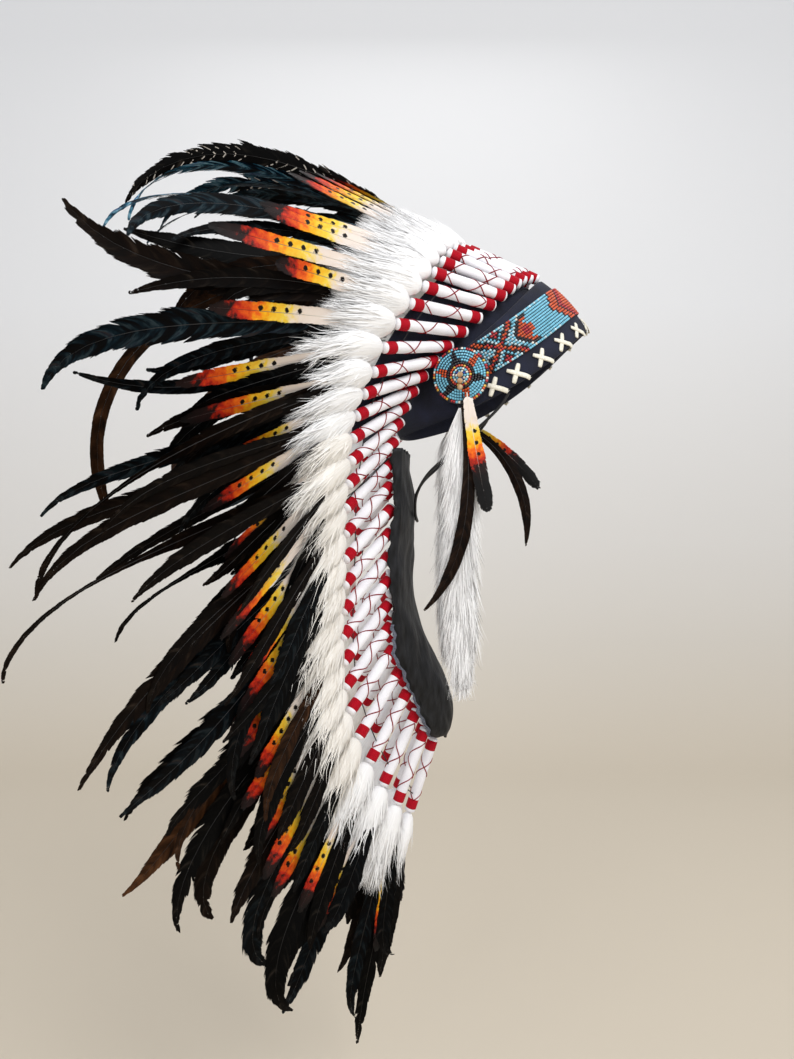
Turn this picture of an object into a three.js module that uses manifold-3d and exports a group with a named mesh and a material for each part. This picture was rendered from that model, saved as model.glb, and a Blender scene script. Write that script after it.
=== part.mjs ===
// Feathered headdress, in millimetres: +Z is up, the brow faces -Y, the wearer's right is -X.
// The origin is the centre of the head opening, where the cap sits on the head.
import * as THREE from 'three';
import { mergeVertices } from 'three/addons/utils/BufferGeometryUtils.js';
import Module from 'manifold-3d';

const wasm = await Module();
wasm.setup();

const { sin, cos, sqrt, PI } = Math;
const degrees = THREE.MathUtils.degToRad;
const blend = THREE.MathUtils.lerp;

const GAP = 0.3;

// Head opening: an oval whose plane drops toward the nape, with the hem dipping at the ears.
const HEM_DEPTH = 243;
const HEM_WIDTH = 168;
const HEM_SLOPE = degrees(29.8);
const HEM_DIP = 18;
const BAND_DOME = 144;
const HEM = { brow: 0, ear: 0 };
const OVAL_STEP = 0.01;

// Felt headband: its height above the hem at the brow and at the ears. NOSE under 2 points its
// front.
const BAND_THICK = 2.5;
const BAND_TOP = { brow: 73, ear: 54.6 };
const BAND_TURN = degrees(116);
const BAND_STEPS = 20;
const NOSE = 1.7;

// Beaded strip on the headband.
const STRIP_THICK = 2.5;
const STRIP_LOW = { brow: 21, ear: 19 };
const STRIP_HIGH = { brow: 57.5, ear: 51 };
const STRIP_STEPS = 18;

// Felt cap inside the headband.
const CAP_CROWN = 109;
const CAP_WALL_SHARE = 0.025;
const CAP_SHARE = 0.955;
const CAP_SIDES = 16;
const CAP_RINGS = 4;

// Rosette at each end of the strip, with three wooden beads hanging down its middle.
const ROSETTE_RADIUS = 28.5;
const ROSETTE_THICK = 4;
const ROSETTE_BEVEL = 1;
const ROSETTE_SIDES = 16;
const ROSETTE_TURN = degrees(107);
const ROSETTE_RISE = 29;
const ROSETTE_STAND = 4;
const WOOD_BEAD_RADIUS = 2.9;
const WOOD_BEAD_STEP = 6.2;
const WOOD_BEADS = 3;

// Quills: a wrapped sleeve with a red band near each end.
const QUILL_RADIUS = 5.65;
const RED_TO_RED = 68;
const QUILL_END = 9.5;
const QUILL_SIDES = 6;
const THREAD_WIDE = 2;
const THREAD_SIDES = 3;
const THREAD_AT = 0.85;
const ROW_LAST = 29;

// Fur tuft at the end of each quill. TUFT_GAP parts it from the quill and FUR_GAP from other fur.
const TUFT_LENGTH = 96;
const TUFT_WIDE = 45;
const TUFT_DEEP = 26;
const TUFT_ROOT = 9;
const TUFT_BELLY = 36;
const TUFT_NOTCH = 76;
const LOCK_NARROW = 0.7;
const LOCK_VARY = 0.1;
const TUFT_GAP = 0.5;
const FUR_GAP = 1;

// Feathers: FEATHER_ROOT in from the quill's end and FEATHER_SPACE to either side of its axis.
// EDGE_GROW is how much faster a cutter widens a feather's sharp edges than it thickens it.
const FEATHER_THICK = 1.2;
const EDGE_GROW = 6;
const FEATHER_ROOT = 12;
const FEATHER_SPACE = 2.5;
const DYED_WIDE = 17;
const COQUE_STEPS = 4;
const DYED_STEPS = 2;
const CURVE_FINE = 8;
const LEFT_LENGTH_VARY = 0.06;
const LEFT_TURN_VARY = 2;

// Felt flange under the quills of the fan, and the long panel that carries the trailer.
const FELT = 1.6;
const FLANGE_REACH = 66;
const FLANGE_LAST = 13.4;
const FLANGE_STEPS = 24;
const FLANGE_BELOW = 2.4;
const FLANGE_LOW = 6;
const PANEL_FIRST = 15.6;
const PANEL_LAST = 28.6;
const PANEL_THICK = 2;
const PANEL_AHEAD = 12;
const PANEL_BESIDE = 4;
const PANEL_ABOVE = 6;
const PANEL_FOLDS = 4;
const PANEL_STEPS = 10;

// Line of the quills from the brow's middle (unit 0) down one side to the trailer's end (unit 29).
// back, up and side place the inner red band; pitch is the quill's rise and splay its outward turn;
// bow is how far the trailer's panel bulges forward between its two edges.
const ROW = [
  { unit: 0, back: -44, up: 121, side: 0, pitch: 24, splay: 0, bow: 0 },
  { unit: 2, back: -26, up: 111, side: 28, pitch: 21, splay: 11, bow: 0 },
  { unit: 4, back: -10, up: 94, side: 54, pitch: 15, splay: 19, bow: 0 },
  { unit: 6, back: 12, up: 72, side: 70, pitch: 6, splay: 29, bow: 0 },
  { unit: 8, back: 41, up: 42, side: 79, pitch: -3, splay: 34, bow: 0 },
  { unit: 10, back: 69, up: 12, side: 78, pitch: -19, splay: 37, bow: 0 },
  { unit: 12, back: 90, up: -18, side: 73, pitch: -30, splay: 37, bow: 0 },
  { unit: 14, back: 104, up: -50, side: 66, pitch: -43, splay: 37, bow: 4 },
  { unit: 16, back: 112, up: -90, side: 57, pitch: -48, splay: 35, bow: 10 },
  { unit: 18, back: 113, up: -138, side: 56, pitch: -49, splay: 33, bow: 16 },
  { unit: 20, back: 115, up: -187, side: 56, pitch: -50, splay: 31, bow: 16 },
  { unit: 22, back: 115, up: -236, side: 56, pitch: -51, splay: 29, bow: 18 },
  { unit: 24, back: 110, up: -282, side: 53, pitch: -54, splay: 26, bow: 26 },
  { unit: 26, back: 95, up: -331, side: 38, pitch: -60, splay: 17, bow: 34 },
  { unit: 28, back: 76, up: -378, side: 17, pitch: -69, splay: 5, bow: 20 },
  { unit: 29, back: 66, up: -393, side: 0, pitch: -72, splay: 0, bow: 0 },
];
const ROW_COLUMNS = ['back', 'up', 'side', 'pitch', 'splay', 'bow'];

// Feathers of each unit from the brow down one side. coque is the long black feather's length;
// turn, bend and hook curve it along the row and lift and droop curve it away from the head, in
// degrees; wide is its breadth. dyed and lean are the painted feather's length and turn.
const PLUMES = [
  { coque: 410, turn: 0, bend: 0, hook: 0, lift: 5, droop: -75, wide: 24, dyed: 170, lean: 0 },
  { coque: 350, turn: 0, bend: 0, hook: 0, lift: -2, droop: -60, wide: 22, dyed: 155, lean: 5 },
  { coque: 345, turn: 5, bend: 5, hook: 20, lift: 3, droop: -45, wide: 24, dyed: 160, lean: 5 },
  { coque: 335, turn: 5, bend: 5, hook: 20, lift: -4, droop: -30, wide: 22, dyed: 160, lean: 0 },
  { coque: 310, turn: 5, bend: 10, hook: 40, lift: 2, droop: -10, wide: 28, dyed: 175, lean: 10 },
  { coque: 275, turn: 10, bend: 15, hook: -40, lift: -4, droop: 0, wide: 26, dyed: 160, lean: 0 },
  { coque: 430, turn: 0, bend: 60, hook: 85, lift: -16, droop: 0, wide: 13, dyed: 200, lean: 0 },
  { coque: 305, turn: 5, bend: 0, hook: -30, lift: -3, droop: 0, wide: 28, dyed: 130, lean: -5 },
  { coque: 320, turn: 5, bend: 0, hook: 20, lift: 2, droop: 0, wide: 28, dyed: 175, lean: 0 },
  { coque: 270, turn: 15, bend: 5, hook: -55, lift: -5, droop: 0, wide: 15, dyed: 195, lean: 5 },
  { coque: 360, turn: 5, bend: -5, hook: 50, lift: 9, droop: 0, wide: 20, dyed: 190, lean: 0 },
  { coque: 295, turn: 5, bend: 0, hook: -10, lift: -4, droop: 0, wide: 20, dyed: 160, lean: 5 },
  { coque: 330, turn: 0, bend: -15, hook: 20, lift: 5, droop: 0, wide: 22, dyed: 170, lean: 5 },
  { coque: 310, turn: 0, bend: -20, hook: 40, lift: -16, droop: 0, wide: 22, dyed: 160, lean: 10 },
  { coque: 360, turn: -10, bend: -10, hook: 20, lift: -3, droop: 0, wide: 18, dyed: 175, lean: 5 },
  { coque: 250, turn: -5, bend: 0, hook: 0, lift: -12, droop: 0, wide: 20, dyed: 185, lean: 5 },
  { coque: 330, turn: -10, bend: 15, hook: 5, lift: 2, droop: 0, wide: 24, dyed: 180, lean: 5 },
  { coque: 300, turn: -5, bend: 0, hook: 20, lift: -4, droop: 0, wide: 22, dyed: 165, lean: 5 },
  { coque: 290, turn: 5, bend: 0, hook: -30, lift: 3, droop: 0, wide: 24, dyed: 170, lean: 5 },
  { coque: 270, turn: 5, bend: 0, hook: -25, lift: -10, droop: 0, wide: 22, dyed: 165, lean: 0 },
  { coque: 240, turn: 5, bend: 5, hook: -45, lift: 0, droop: 0, wide: 24, dyed: 165, lean: 0 },
  { coque: 275, turn: 0, bend: 0, hook: 15, lift: -4, droop: 0, wide: 26, dyed: 140, lean: 5 },
  { coque: 265, turn: -5, bend: 5, hook: 30, lift: 0, droop: 0, wide: 26, dyed: 150, lean: 0 },
  { coque: 250, turn: 0, bend: -5, hook: 70, lift: -11, droop: 0, wide: 28, dyed: 150, lean: 5 },
  { coque: 200, turn: 0, bend: 5, hook: 5, lift: 2, droop: 0, wide: 26, dyed: 155, lean: 5 },
  { coque: 240, turn: 5, bend: -20, hook: 90, lift: -5, droop: 0, wide: 30, dyed: 150, lean: 0 },
  { coque: 250, turn: 0, bend: -10, hook: 60, lift: 3, droop: 0, wide: 28, dyed: 140, lean: 0 },
  { coque: 235, turn: 5, bend: -5, hook: 20, lift: -4, droop: 0, wide: 22, dyed: 140, lean: -5 },
  { coque: 230, turn: 10, bend: -10, hook: 10, lift: 3, droop: 0, wide: 18, dyed: 150, lean: 15 },
  { coque: 260, turn: 0, bend: 0, hook: 0, lift: 4, droop: 10, wide: 18, dyed: 150, lean: 0 },
];

// Breadth of a feather along its length, as a share of its full breadth.
const VANE = [
  { along: 0, share: 0.3 },
  { along: 0.25, share: 0.6 },
  { along: 0.5, share: 1 },
  { along: 0.8, share: 0.85 },
  { along: 1, share: 0.15 },
];

// Black cord round the back of the neck: points from the hem on the right to the nape's middle.
const CORD_WIDE = 3;
const CORD_SIDES = 8;
const CORD_STEPS = 36;
const CORD_HALF = [
  { side: 82.5, back: -8, up: -19.5 },
  { side: 80, back: -2, up: -30 },
  { side: 77, back: 14, up: -47 },
  { side: 72, back: 38, up: -67 },
  { side: 66, back: 58, up: -86 },
  { side: 58, back: 73, up: -101 },
  { side: 46, back: 83, up: -120 },
  { side: 28, back: 84, up: -138 },
];
const CORD_NAPE = { back: 81, up: -147 };

// Fur strip and two feathers that hang from each rosette.
const DROP = { side: 86, back: 39, top: -35, length: 285, wide: 34, deep: 9, locks: 6 };
const SPINE = { wide: 12, deep: 3, length: 235 };
const DROP_LOCK = { length: 82, belly: 0.4, root: 0.6, stagger: 4 };
const DROP_BLACK = { side: 93.5, back: 39, top: -22, length: 225, lean: -8, bend: 20, hook: 35, wide: 18 };
const DROP_DYED = { side: 96.5, back: 35, top: -22, length: 118, lean: -8, bend: -4, hook: 0, wide: 16 };
// The left drop's two feathers swing forward over the cheek.
const DROP_BLACK_LEFT = { ...DROP_BLACK, length: 195, lean: -70, bend: 80, hook: 0 };
const DROP_DYED_LEFT = { ...DROP_DYED, length: 135, lean: -66, bend: 30 };

const COLOURS = {
  felt: { color: '#17181f', roughness: 0.95 },
  beads: { color: '#5fb4c9', roughness: 0.4 },
  wood: { color: '#b98a5c', roughness: 0.6 },
  sleeve: { color: '#e9e4df', roughness: 0.8 },
  plume: { color: '#1d1a18', roughness: 0.7 },
  fur: { color: '#e8e2d4', roughness: 0.9 },
  dyed: { color: '#e9a32a', roughness: 0.7 },
  panel: { color: '#2c2e31', roughness: 0.8 },
  cord: { color: '#101012', roughness: 0.7 },
};

const headdress = new THREE.Group();
headdress.name = 'headdress';

function addPiece(name, geometry, look) {
  const material = new THREE.MeshStandardMaterial({ ...COLOURS[look], metalness: 0 });
  const mesh = new THREE.Mesh(geometry, material);
  mesh.name = name;
  headdress.add(mesh);
}

// Position-only copy of a geometry with shared corners, turned so that its faces point out.
function closed(geometry) {
  const bare = geometry.clone();
  bare.deleteAttribute('normal');
  bare.deleteAttribute('uv');
  const solid = mergeVertices(bare, 1e-4);
  const at = solid.attributes.position;
  const index = solid.index.array;
  const corner = [new THREE.Vector3(), new THREE.Vector3(), new THREE.Vector3()];
  let volume = 0;
  for (let i = 0; i < index.length; i += 3) {
    corner.forEach((point, k) => point.fromBufferAttribute(at, index[i + k]));
    volume += corner[0].dot(corner[1].clone().cross(corner[2]));
  }
  if (volume < 0) {
    index.reverse();
  }
  return solid;
}

// Moves every corner of a three.js shape to where place puts it.
function shaped(geometry, place) {
  const at = geometry.attributes.position;
  for (let i = 0; i < at.count; i += 1) {
    const moved = place(at.getX(i), at.getY(i), at.getZ(i));
    at.setXYZ(i, moved.x, moved.y, moved.z);
  }
  return closed(geometry);
}

function toSolid(geometry) {
  const vertProperties = new Float32Array(geometry.attributes.position.array);
  const triVerts = new Uint32Array(geometry.index.array);
  return new wasm.Manifold(new wasm.Mesh({ numProp: 3, vertProperties, triVerts }));
}

function fromSolid(solid) {
  const mesh = solid.getMesh();
  const geometry = new THREE.BufferGeometry();
  geometry.setAttribute('position', new THREE.BufferAttribute(mesh.vertProperties, 3));
  geometry.setIndex(new THREE.BufferAttribute(mesh.triVerts, 1));
  return geometry;
}

function fuse(geometries) {
  return geometries.map(toSolid).reduce((whole, piece) => whole.add(piece));
}

// Axes of the head opening: ALONG_HEM runs from brow to nape, CROWN stands up from it.
const ALONG_HEM = new THREE.Vector3(0, cos(HEM_SLOPE), -sin(HEM_SLOPE));
const CROWN = new THREE.Vector3(0, sin(HEM_SLOPE), cos(HEM_SLOPE));

function inHem(x, along, rise) {
  return new THREE.Vector3(x, 0, 0).addScaledVector(ALONG_HEM, along).addScaledVector(CROWN, rise);
}

// Point of the oval at a turn from the brow: x across and along from brow to nape.
function oval(turn) {
  const front = Math.max(cos(turn), 0);
  const full = (front ** NOSE + Math.abs(sin(turn)) ** NOSE) ** (1 / NOSE);
  const round = front > 0 ? full : 1;
  return { x: sin(turn) / round * HEM_WIDTH / 2, along: -cos(turn) / round * HEM_DEPTH / 2 };
}

// Point on the oval dome at a turn from the brow and a rise above the hem, pushed out by off.
function domePoint(turn, rise, off) {
  const share = sqrt(1 - (rise / BAND_DOME) ** 2);
  const edge = oval(turn);
  const drop = HEM_DIP * sin(turn) ** 2 * (1 - rise / BAND_DOME);
  return inHem(edge.x * share, edge.along * share, rise - drop)
    .addScaledVector(domeNormal(turn, rise), off);
}

function domeNormal(turn, rise) {
  const share = sqrt(1 - (rise / BAND_DOME) ** 2);
  const before = oval(turn - OVAL_STEP);
  const after = oval(turn + OVAL_STEP);
  const flat = new THREE.Vector2(after.along - before.along, before.x - after.x).normalize();
  return inHem(flat.x * share, flat.y * share, rise * HEM_WIDTH / 2 / BAND_DOME ** 2).normalize();
}

// A height that changes from brow to ear and goes on changing toward the nape.
function browToEar(sizes, turn) {
  return blend(sizes.brow, sizes.ear, 1 - cos(turn));
}

// Wall that follows the dome, from one end turn to the other, with an edge at each height.
function domeWall(steps, heights, inner, outer) {
  const rows = heights.length - 1;
  const block = new THREE.BoxGeometry(1, 1, 1, steps, rows, 1);
  return shaped(block, (x, y, z) => {
    const turn = 2 * x * BAND_TURN * steps / BAND_STEPS;
    const height = heights[Math.round((y + 0.5) * rows)];
    return domePoint(turn, browToEar(height, turn), blend(inner, outer, z + 0.5));
  });
}

function headband() {
  return domeWall(BAND_STEPS, [HEM, STRIP_LOW, STRIP_HIGH, BAND_TOP], -BAND_THICK, 0);
}

function beadedStrip() {
  return domeWall(STRIP_STEPS, [STRIP_LOW, STRIP_HIGH], GAP, GAP + STRIP_THICK);
}

// Felt cap: a domed wall turned as a shell, then fitted to the oval and the dipping hem.
function cap() {
  const profile = [];
  for (let i = 0; i <= CAP_RINGS; i += 1) {
    const angle = i / CAP_RINGS * PI / 2;
    profile.push(new THREE.Vector2(sin(angle), cos(angle)));
  }
  const inner = profile.map((point) => point.clone().multiplyScalar(1 - CAP_WALL_SHARE));
  const shell = new THREE.LatheGeometry([...profile, ...inner.reverse()], CAP_SIDES);
  return shaped(shell, (x, y, z) => {
    const turn = Math.atan2(x, z);
    const edge = oval(turn);
    const radius = Math.hypot(x, z) * CAP_SHARE;
    const drop = HEM_DIP * sin(turn) ** 2 * (1 - y);
    return inHem(edge.x * radius, edge.along * radius, y * CAP_CROWN - drop);
  });
}

// Middle of a rosette's back and its way out from the head.
function rosetteFrame(side) {
  const turn = side * ROSETTE_TURN;
  const out = domeNormal(turn, ROSETTE_RISE);
  const middle = domePoint(turn, ROSETTE_RISE, STRIP_THICK + ROSETTE_STAND);
  return { middle, out };
}

function rosette(side) {
  const { middle, out } = rosetteFrame(side);
  const flat = ROSETTE_RADIUS - ROSETTE_BEVEL;
  const profile = [
    new THREE.Vector2(0, 0),
    new THREE.Vector2(flat, 0),
    new THREE.Vector2(ROSETTE_RADIUS, ROSETTE_BEVEL),
    new THREE.Vector2(flat, ROSETTE_THICK - ROSETTE_BEVEL),
    new THREE.Vector2(0, ROSETTE_THICK),
  ];
  const disc = new THREE.LatheGeometry(profile, ROSETTE_SIDES);
  const turn = new THREE.Quaternion().setFromUnitVectors(new THREE.Vector3(0, 1, 0), out);
  return shaped(disc, (x, y, z) => new THREE.Vector3(x, y, z).applyQuaternion(turn).add(middle));
}

function woodBead(side, place) {
  const { middle, out } = rosetteFrame(side);
  const lift = ROSETTE_THICK + GAP + WOOD_BEAD_RADIUS;
  const centre = middle.clone().addScaledVector(out, lift);
  centre.z -= place * WOOD_BEAD_STEP;
  const ball = new THREE.SphereGeometry(WOOD_BEAD_RADIUS, 6, 4);
  return shaped(ball, (x, y, z) => new THREE.Vector3(x, y, z).add(centre));
}

const rowCurve = new THREE.CubicInterpolant(
  ROW.map((row) => row.unit),
  ROW.flatMap((row) => ROW_COLUMNS.map((column) => row[column])),
  ROW_COLUMNS.length,
);

function rowAt(unit) {
  const values = rowCurve.evaluate(unit);
  return Object.fromEntries(ROW_COLUMNS.map((column, i) => [column, values[i]]));
}

function rowPoint(unit, side) {
  const row = rowAt(unit);
  return new THREE.Vector3(side * row.side, row.back, row.up);
}

// Frame of a unit: point at its inner red band, forth along the quill, along down the row and
// out away from the head. side is -1 on the wearer's right and 1 on the left.
function unitFrame(unit, side) {
  const { pitch, splay } = rowAt(unit);
  const level = cos(degrees(splay));
  const forth = new THREE.Vector3(
    side * sin(degrees(splay)),
    level * cos(degrees(pitch)),
    level * sin(degrees(pitch)),
  );
  const step = 0.05;
  const before = rowPoint(Math.max(0, unit - step), side);
  const after = rowPoint(Math.min(ROW_LAST, unit + step), side);
  if (unit === 0 || unit === ROW_LAST) {
    const towards = unit === 0 ? side : -side;
    after.copy(before).setX(before.x + towards);
  }
  const along = after.sub(before);
  along.addScaledVector(forth, -along.dot(forth)).normalize();
  const out = forth.clone().cross(along).multiplyScalar(-side);
  return { point: rowPoint(unit, side), forth, along, out };
}

function fromUnit(frame, forth, along, out) {
  return frame.point.clone()
    .addScaledVector(frame.forth, forth)
    .addScaledVector(frame.along, along)
    .addScaledVector(frame.out, out);
}

const QUILL_TIP = RED_TO_RED + QUILL_END;

function quill(frame) {
  const length = QUILL_TIP + QUILL_END;
  const tube = new THREE.CylinderGeometry(QUILL_RADIUS, QUILL_RADIUS, length, QUILL_SIDES);
  return shaped(tube, (x, y, z) => fromUnit(frame, y + RED_TO_RED / 2, x, z));
}

// Spacing thread between two neighbouring quills, three-sided.
function thread(from, to) {
  const prism = new THREE.CylinderGeometry(THREAD_WIDE / 2, THREAD_WIDE / 2, 1, THREAD_SIDES);
  return shaped(prism, (x, y, z) => {
    const near = fromUnit(from, RED_TO_RED * THREAD_AT + x, 0, z);
    const far = fromUnit(to, RED_TO_RED * THREAD_AT + x, 0, z);
    return near.lerp(far, y + 0.5);
  });
}

function quillStretch(units) {
  const frames = units.map(([unit, side]) => unitFrame(unit, side));
  const pieces = frames.map(quill);
  for (let i = 1; i < frames.length; i += 1) {
    pieces.push(thread(frames[i - 1], frames[i]));
  }
  return fuse(pieces);
}

// Fur tuft on a quill's end: narrow at its root, widest at its belly and split into two pointed
// locks with a notch between them. grow thickens it for cutting a neighbour.
function tuft(unit, side, grow) {
  const frame = unitFrame(unit, side);
  const body = new THREE.CylinderGeometry(1, 1, 2, 4, 2);
  return toSolid(shaped(body, (x, y, z) => {
    const lock = Math.abs(x) > 0.5;
    const length = TUFT_LENGTH * (1 - LOCK_VARY + LOCK_VARY * sin(2.3 * unit + 2 * x));
    const tip = lock ? length + 3 * grow : TUFT_NOTCH + grow;
    const forth = [TUFT_GAP - grow, TUFT_BELLY, tip][Math.round(y) + 1];
    const spread = [TUFT_ROOT, TUFT_WIDE, TUFT_WIDE * LOCK_NARROW][Math.round(y) + 1] / 2;
    const deep = [TUFT_ROOT, TUFT_DEEP, TUFT_ROOT][Math.round(y) + 1] / 2;
    return fromUnit(frame, QUILL_TIP + forth, x * (spread + grow), z * (deep + grow));
  }));
}

function vaneShare(along) {
  const next = Math.max(1, VANE.findIndex((row) => row.along >= along - 1e-9));
  const low = VANE[next - 1];
  const high = VANE[next];
  return blend(low.share, high.share, (along - low.along) / (high.along - low.along));
}

// Flat feather, ridged down its middle, that starts at root and runs along forth, turning as its
// shape says.
function feather(root, axes, shape, steps, grow) {
  const stations = [];
  const point = root.clone();
  const fine = CURVE_FINE * steps;
  for (let i = 0; i <= fine; i += 1) {
    const along = i / fine;
    const turn = degrees(shape.turn + shape.bend * along + shape.hook * along ** 3);
    const lift = degrees(shape.lift + shape.droop * along ** 3);
    const flat = axes.forth.clone().multiplyScalar(cos(turn)).addScaledVector(axes.along, sin(turn));
    const heading = flat.multiplyScalar(cos(lift)).addScaledVector(axes.out, sin(lift));
    const across = axes.out.clone().cross(heading).normalize();
    const facing = heading.clone().cross(across).normalize();
    stations.push({ point: point.clone(), across, facing });
    point.addScaledVector(heading, shape.length / fine);
  }
  const strip = new THREE.CylinderGeometry(1, 1, 1, 3, steps);
  return shaped(strip, (x, y, z) => {
    const along = y + 0.5;
    const station = stations[Math.round(along * fine)];
    const width = x * (shape.wide / 2 * vaneShare(along) + EDGE_GROW * grow);
    const thick = z * (FEATHER_THICK + 2 * grow);
    return station.point.clone()
      .addScaledVector(station.across, width)
      .addScaledVector(station.facing, thick);
  });
}

// Long black feather and painted feather of a unit. The left side's vary a little from the right's.
function unitFeathers(unit, side, grow) {
  const frame = unitFrame(unit, side);
  const row = PLUMES[unit];
  const vary = side > 0 ? 1 : 0;
  const coque = {
    ...row,
    length: row.coque * (1 + vary * LEFT_LENGTH_VARY * sin(2.4 * unit)),
    turn: row.turn + vary * LEFT_TURN_VARY * sin(1.7 * unit + 1),
  };
  const dyed = { length: row.dyed, turn: row.lean, bend: 2, hook: 0, lift: 3, droop: 0, wide: DYED_WIDE };
  const coqueRoot = fromUnit(frame, QUILL_TIP + FEATHER_ROOT, 0, -FEATHER_SPACE);
  const dyedRoot = fromUnit(frame, QUILL_TIP + FEATHER_ROOT, 0, FEATHER_SPACE);
  return [
    feather(coqueRoot, frame, coque, COQUE_STEPS, grow),
    feather(dyedRoot, frame, dyed, DYED_STEPS, grow),
  ];
}

// Plumes of a stretch in one body. Its fur is cut back from the next stretch's fur and from the
// feathers of the stretches on either side.
function plumeStretch(units, after, before) {
  const allFur = (list, grow) => list.map(([unit, side]) => tuft(unit, side, grow));
  const allVanes = (list, grow) => list.flatMap(([unit, side]) => unitFeathers(unit, side, grow));
  let fur = allFur(units, 0).reduce((whole, piece) => whole.add(piece));
  const vaneCutters = allVanes([...before, ...after], GAP).map(toSolid);
  for (const cutter of [...allFur(after, FUR_GAP), ...vaneCutters]) {
    fur = fur.subtract(cutter);
  }
  return fur.add(fuse(allVanes(units, 0)));
}

// Felt flange from the cap's surface out under the quills of the fan.
function flange() {
  const block = new THREE.BoxGeometry(1, 1, 1, FLANGE_STEPS, 1, 1);
  return shaped(block, (x, y, z) => {
    const side = x > 0 ? 1 : -1;
    const frame = unitFrame(Math.abs(x) * 2 * FLANGE_LAST, side);
    const depth = -QUILL_RADIUS - FLANGE_BELOW - FELT * (0.5 - z);
    const inner = ontoCap(fromUnit(frame, -QUILL_END, 0, depth));
    const outer = fromUnit(frame, FLANGE_REACH, 0, depth);
    return inner.lerp(outer, y + 0.5);
  });
}

// Nearest way in toward the cap's axis, stopping just off its surface.
function ontoCap(point) {
  const rise = Math.max(point.dot(CROWN), FLANGE_LOW);
  const along = point.dot(ALONG_HEM);
  const share = sqrt(1 - (rise / CAP_CROWN) ** 2);
  const edge = oval(Math.atan2(point.x / HEM_WIDTH, -along / HEM_DEPTH));
  const reach = Math.hypot(point.x, along);
  const pull = Math.min(1, (Math.hypot(edge.x, edge.along) * share * CAP_SHARE + FELT) / reach);
  return inHem(point.x * pull, along * pull, rise);
}

// Long panel down the back: straight side edges on the quills' ends, bulging forward between.
function panel() {
  const block = new THREE.BoxGeometry(1, 1, 1, PANEL_FOLDS, PANEL_STEPS, 1);
  return shaped(block, (x, y, z) => {
    const row = rowAt(blend(PANEL_LAST, PANEL_FIRST, y + 0.5));
    const half = row.side + PANEL_BESIDE;
    const bulge = row.bow * (1 - (2 * x) ** 2);
    const back = row.back - PANEL_AHEAD - bulge + PANEL_THICK * z;
    return new THREE.Vector3(2 * x * half, back, row.up + PANEL_ABOVE);
  });
}

// Plain cord: an eight-sided tube along the route from hem to hem round the back of the neck.
function cord() {
  const toPoint = (side) => (spot) => new THREE.Vector3(side * spot.side, spot.back, spot.up);
  const right = CORD_HALF.map(toPoint(-1));
  const left = CORD_HALF.map(toPoint(1)).reverse();
  const nape = new THREE.Vector3(0, CORD_NAPE.back, CORD_NAPE.up);
  const route = new THREE.CatmullRomCurve3([...right, nape, ...left]);
  const section = new THREE.Shape();
  section.absarc(0, 0, CORD_WIDE / 2, 0, 2 * PI);
  return closed(new THREE.ExtrudeGeometry(section, {
    steps: CORD_STEPS,
    curveSegments: CORD_SIDES / 2,
    bevelEnabled: false,
    extrudePath: route,
  }));
}

// Fur strip that hangs from a rosette: pointed locks down both sides of a narrow spine.
function furDrop(side) {
  const at = (x, y, down) => (
    new THREE.Vector3(side * (DROP.side + x), DROP.back + y, DROP.top - down)
  );
  const spine = shaped(new THREE.BoxGeometry(1, 1, 1), (x, y, z) => (
    at(x * SPINE.deep, y * SPINE.wide, (z + 0.5) * SPINE.length)
  ));
  const pieces = [spine];
  for (let i = 0; i < DROP.locks; i += 1) {
    for (const hand of [-1, 1]) {
      const step = (DROP.length - DROP_LOCK.length) / (DROP.locks - 1);
      const top = i * step + (hand + 1) * DROP_LOCK.stagger;
      pieces.push(dropLock(at, hand, top));
    }
  }
  return fuse(pieces);
}

// One lock of the strip: a pointed solid whose root and tip lie nearer the spine than its belly.
function dropLock(at, hand, top) {
  const quarter = DROP.wide / 4;
  return shaped(new THREE.OctahedronGeometry(1), (x, y, z) => {
    const down = [1, DROP_LOCK.belly, 0][Math.round(y) + 1] * DROP_LOCK.length;
    const beside = [1, 1, DROP_LOCK.root][Math.round(y) + 1] * hand * quarter;
    return at(x * DROP.deep / 2, beside + z * quarter, top + down);
  });
}

function dropFeather(side, drop) {
  const axes = {
    forth: new THREE.Vector3(0, 0, -1),
    along: new THREE.Vector3(0, 1, 0),
    out: new THREE.Vector3(1, 0, 0),
  };
  const root = new THREE.Vector3(side * drop.side, drop.back, drop.top);
  const shape = { ...drop, turn: drop.lean, lift: 0, droop: 0 };
  return feather(root, axes, shape, COQUE_STEPS, 0);
}

// First and last unit of each stretch of quills and of plumes, from the brow down one side.
const QUILL_SPANS = [[2, 5], [6, 9], [10, 12], [13, 15], [16, 19], [20, 23], [24, 27]];
const PLUME_SPANS = [
  [2, 5], [6, 9], [10, 12], [13, 15], [16, 19], [20, 22], [23, 25], [26, 26], [27, 27],
];

function spanUnits([first, last], side) {
  return Array.from({ length: last - first + 1 }, (_, i) => [first + i, side]);
}

// Stretches in the order they meet round the row: brow, right side down, tail, left side up.
function stretchRing(spans) {
  const onSide = (name, side) => spans.map((span, i) => (
    { name: `${name}_${i + 1}`, units: spanUnits(span, side) }
  ));
  return [
    { name: 'brow', units: [[1, 1], [0, -1], [1, -1]] },
    ...onSide('right', -1),
    { name: 'tail', units: [[28, -1], [29, -1], [28, 1]] },
    ...onSide('left', 1).reverse(),
  ];
}

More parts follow.
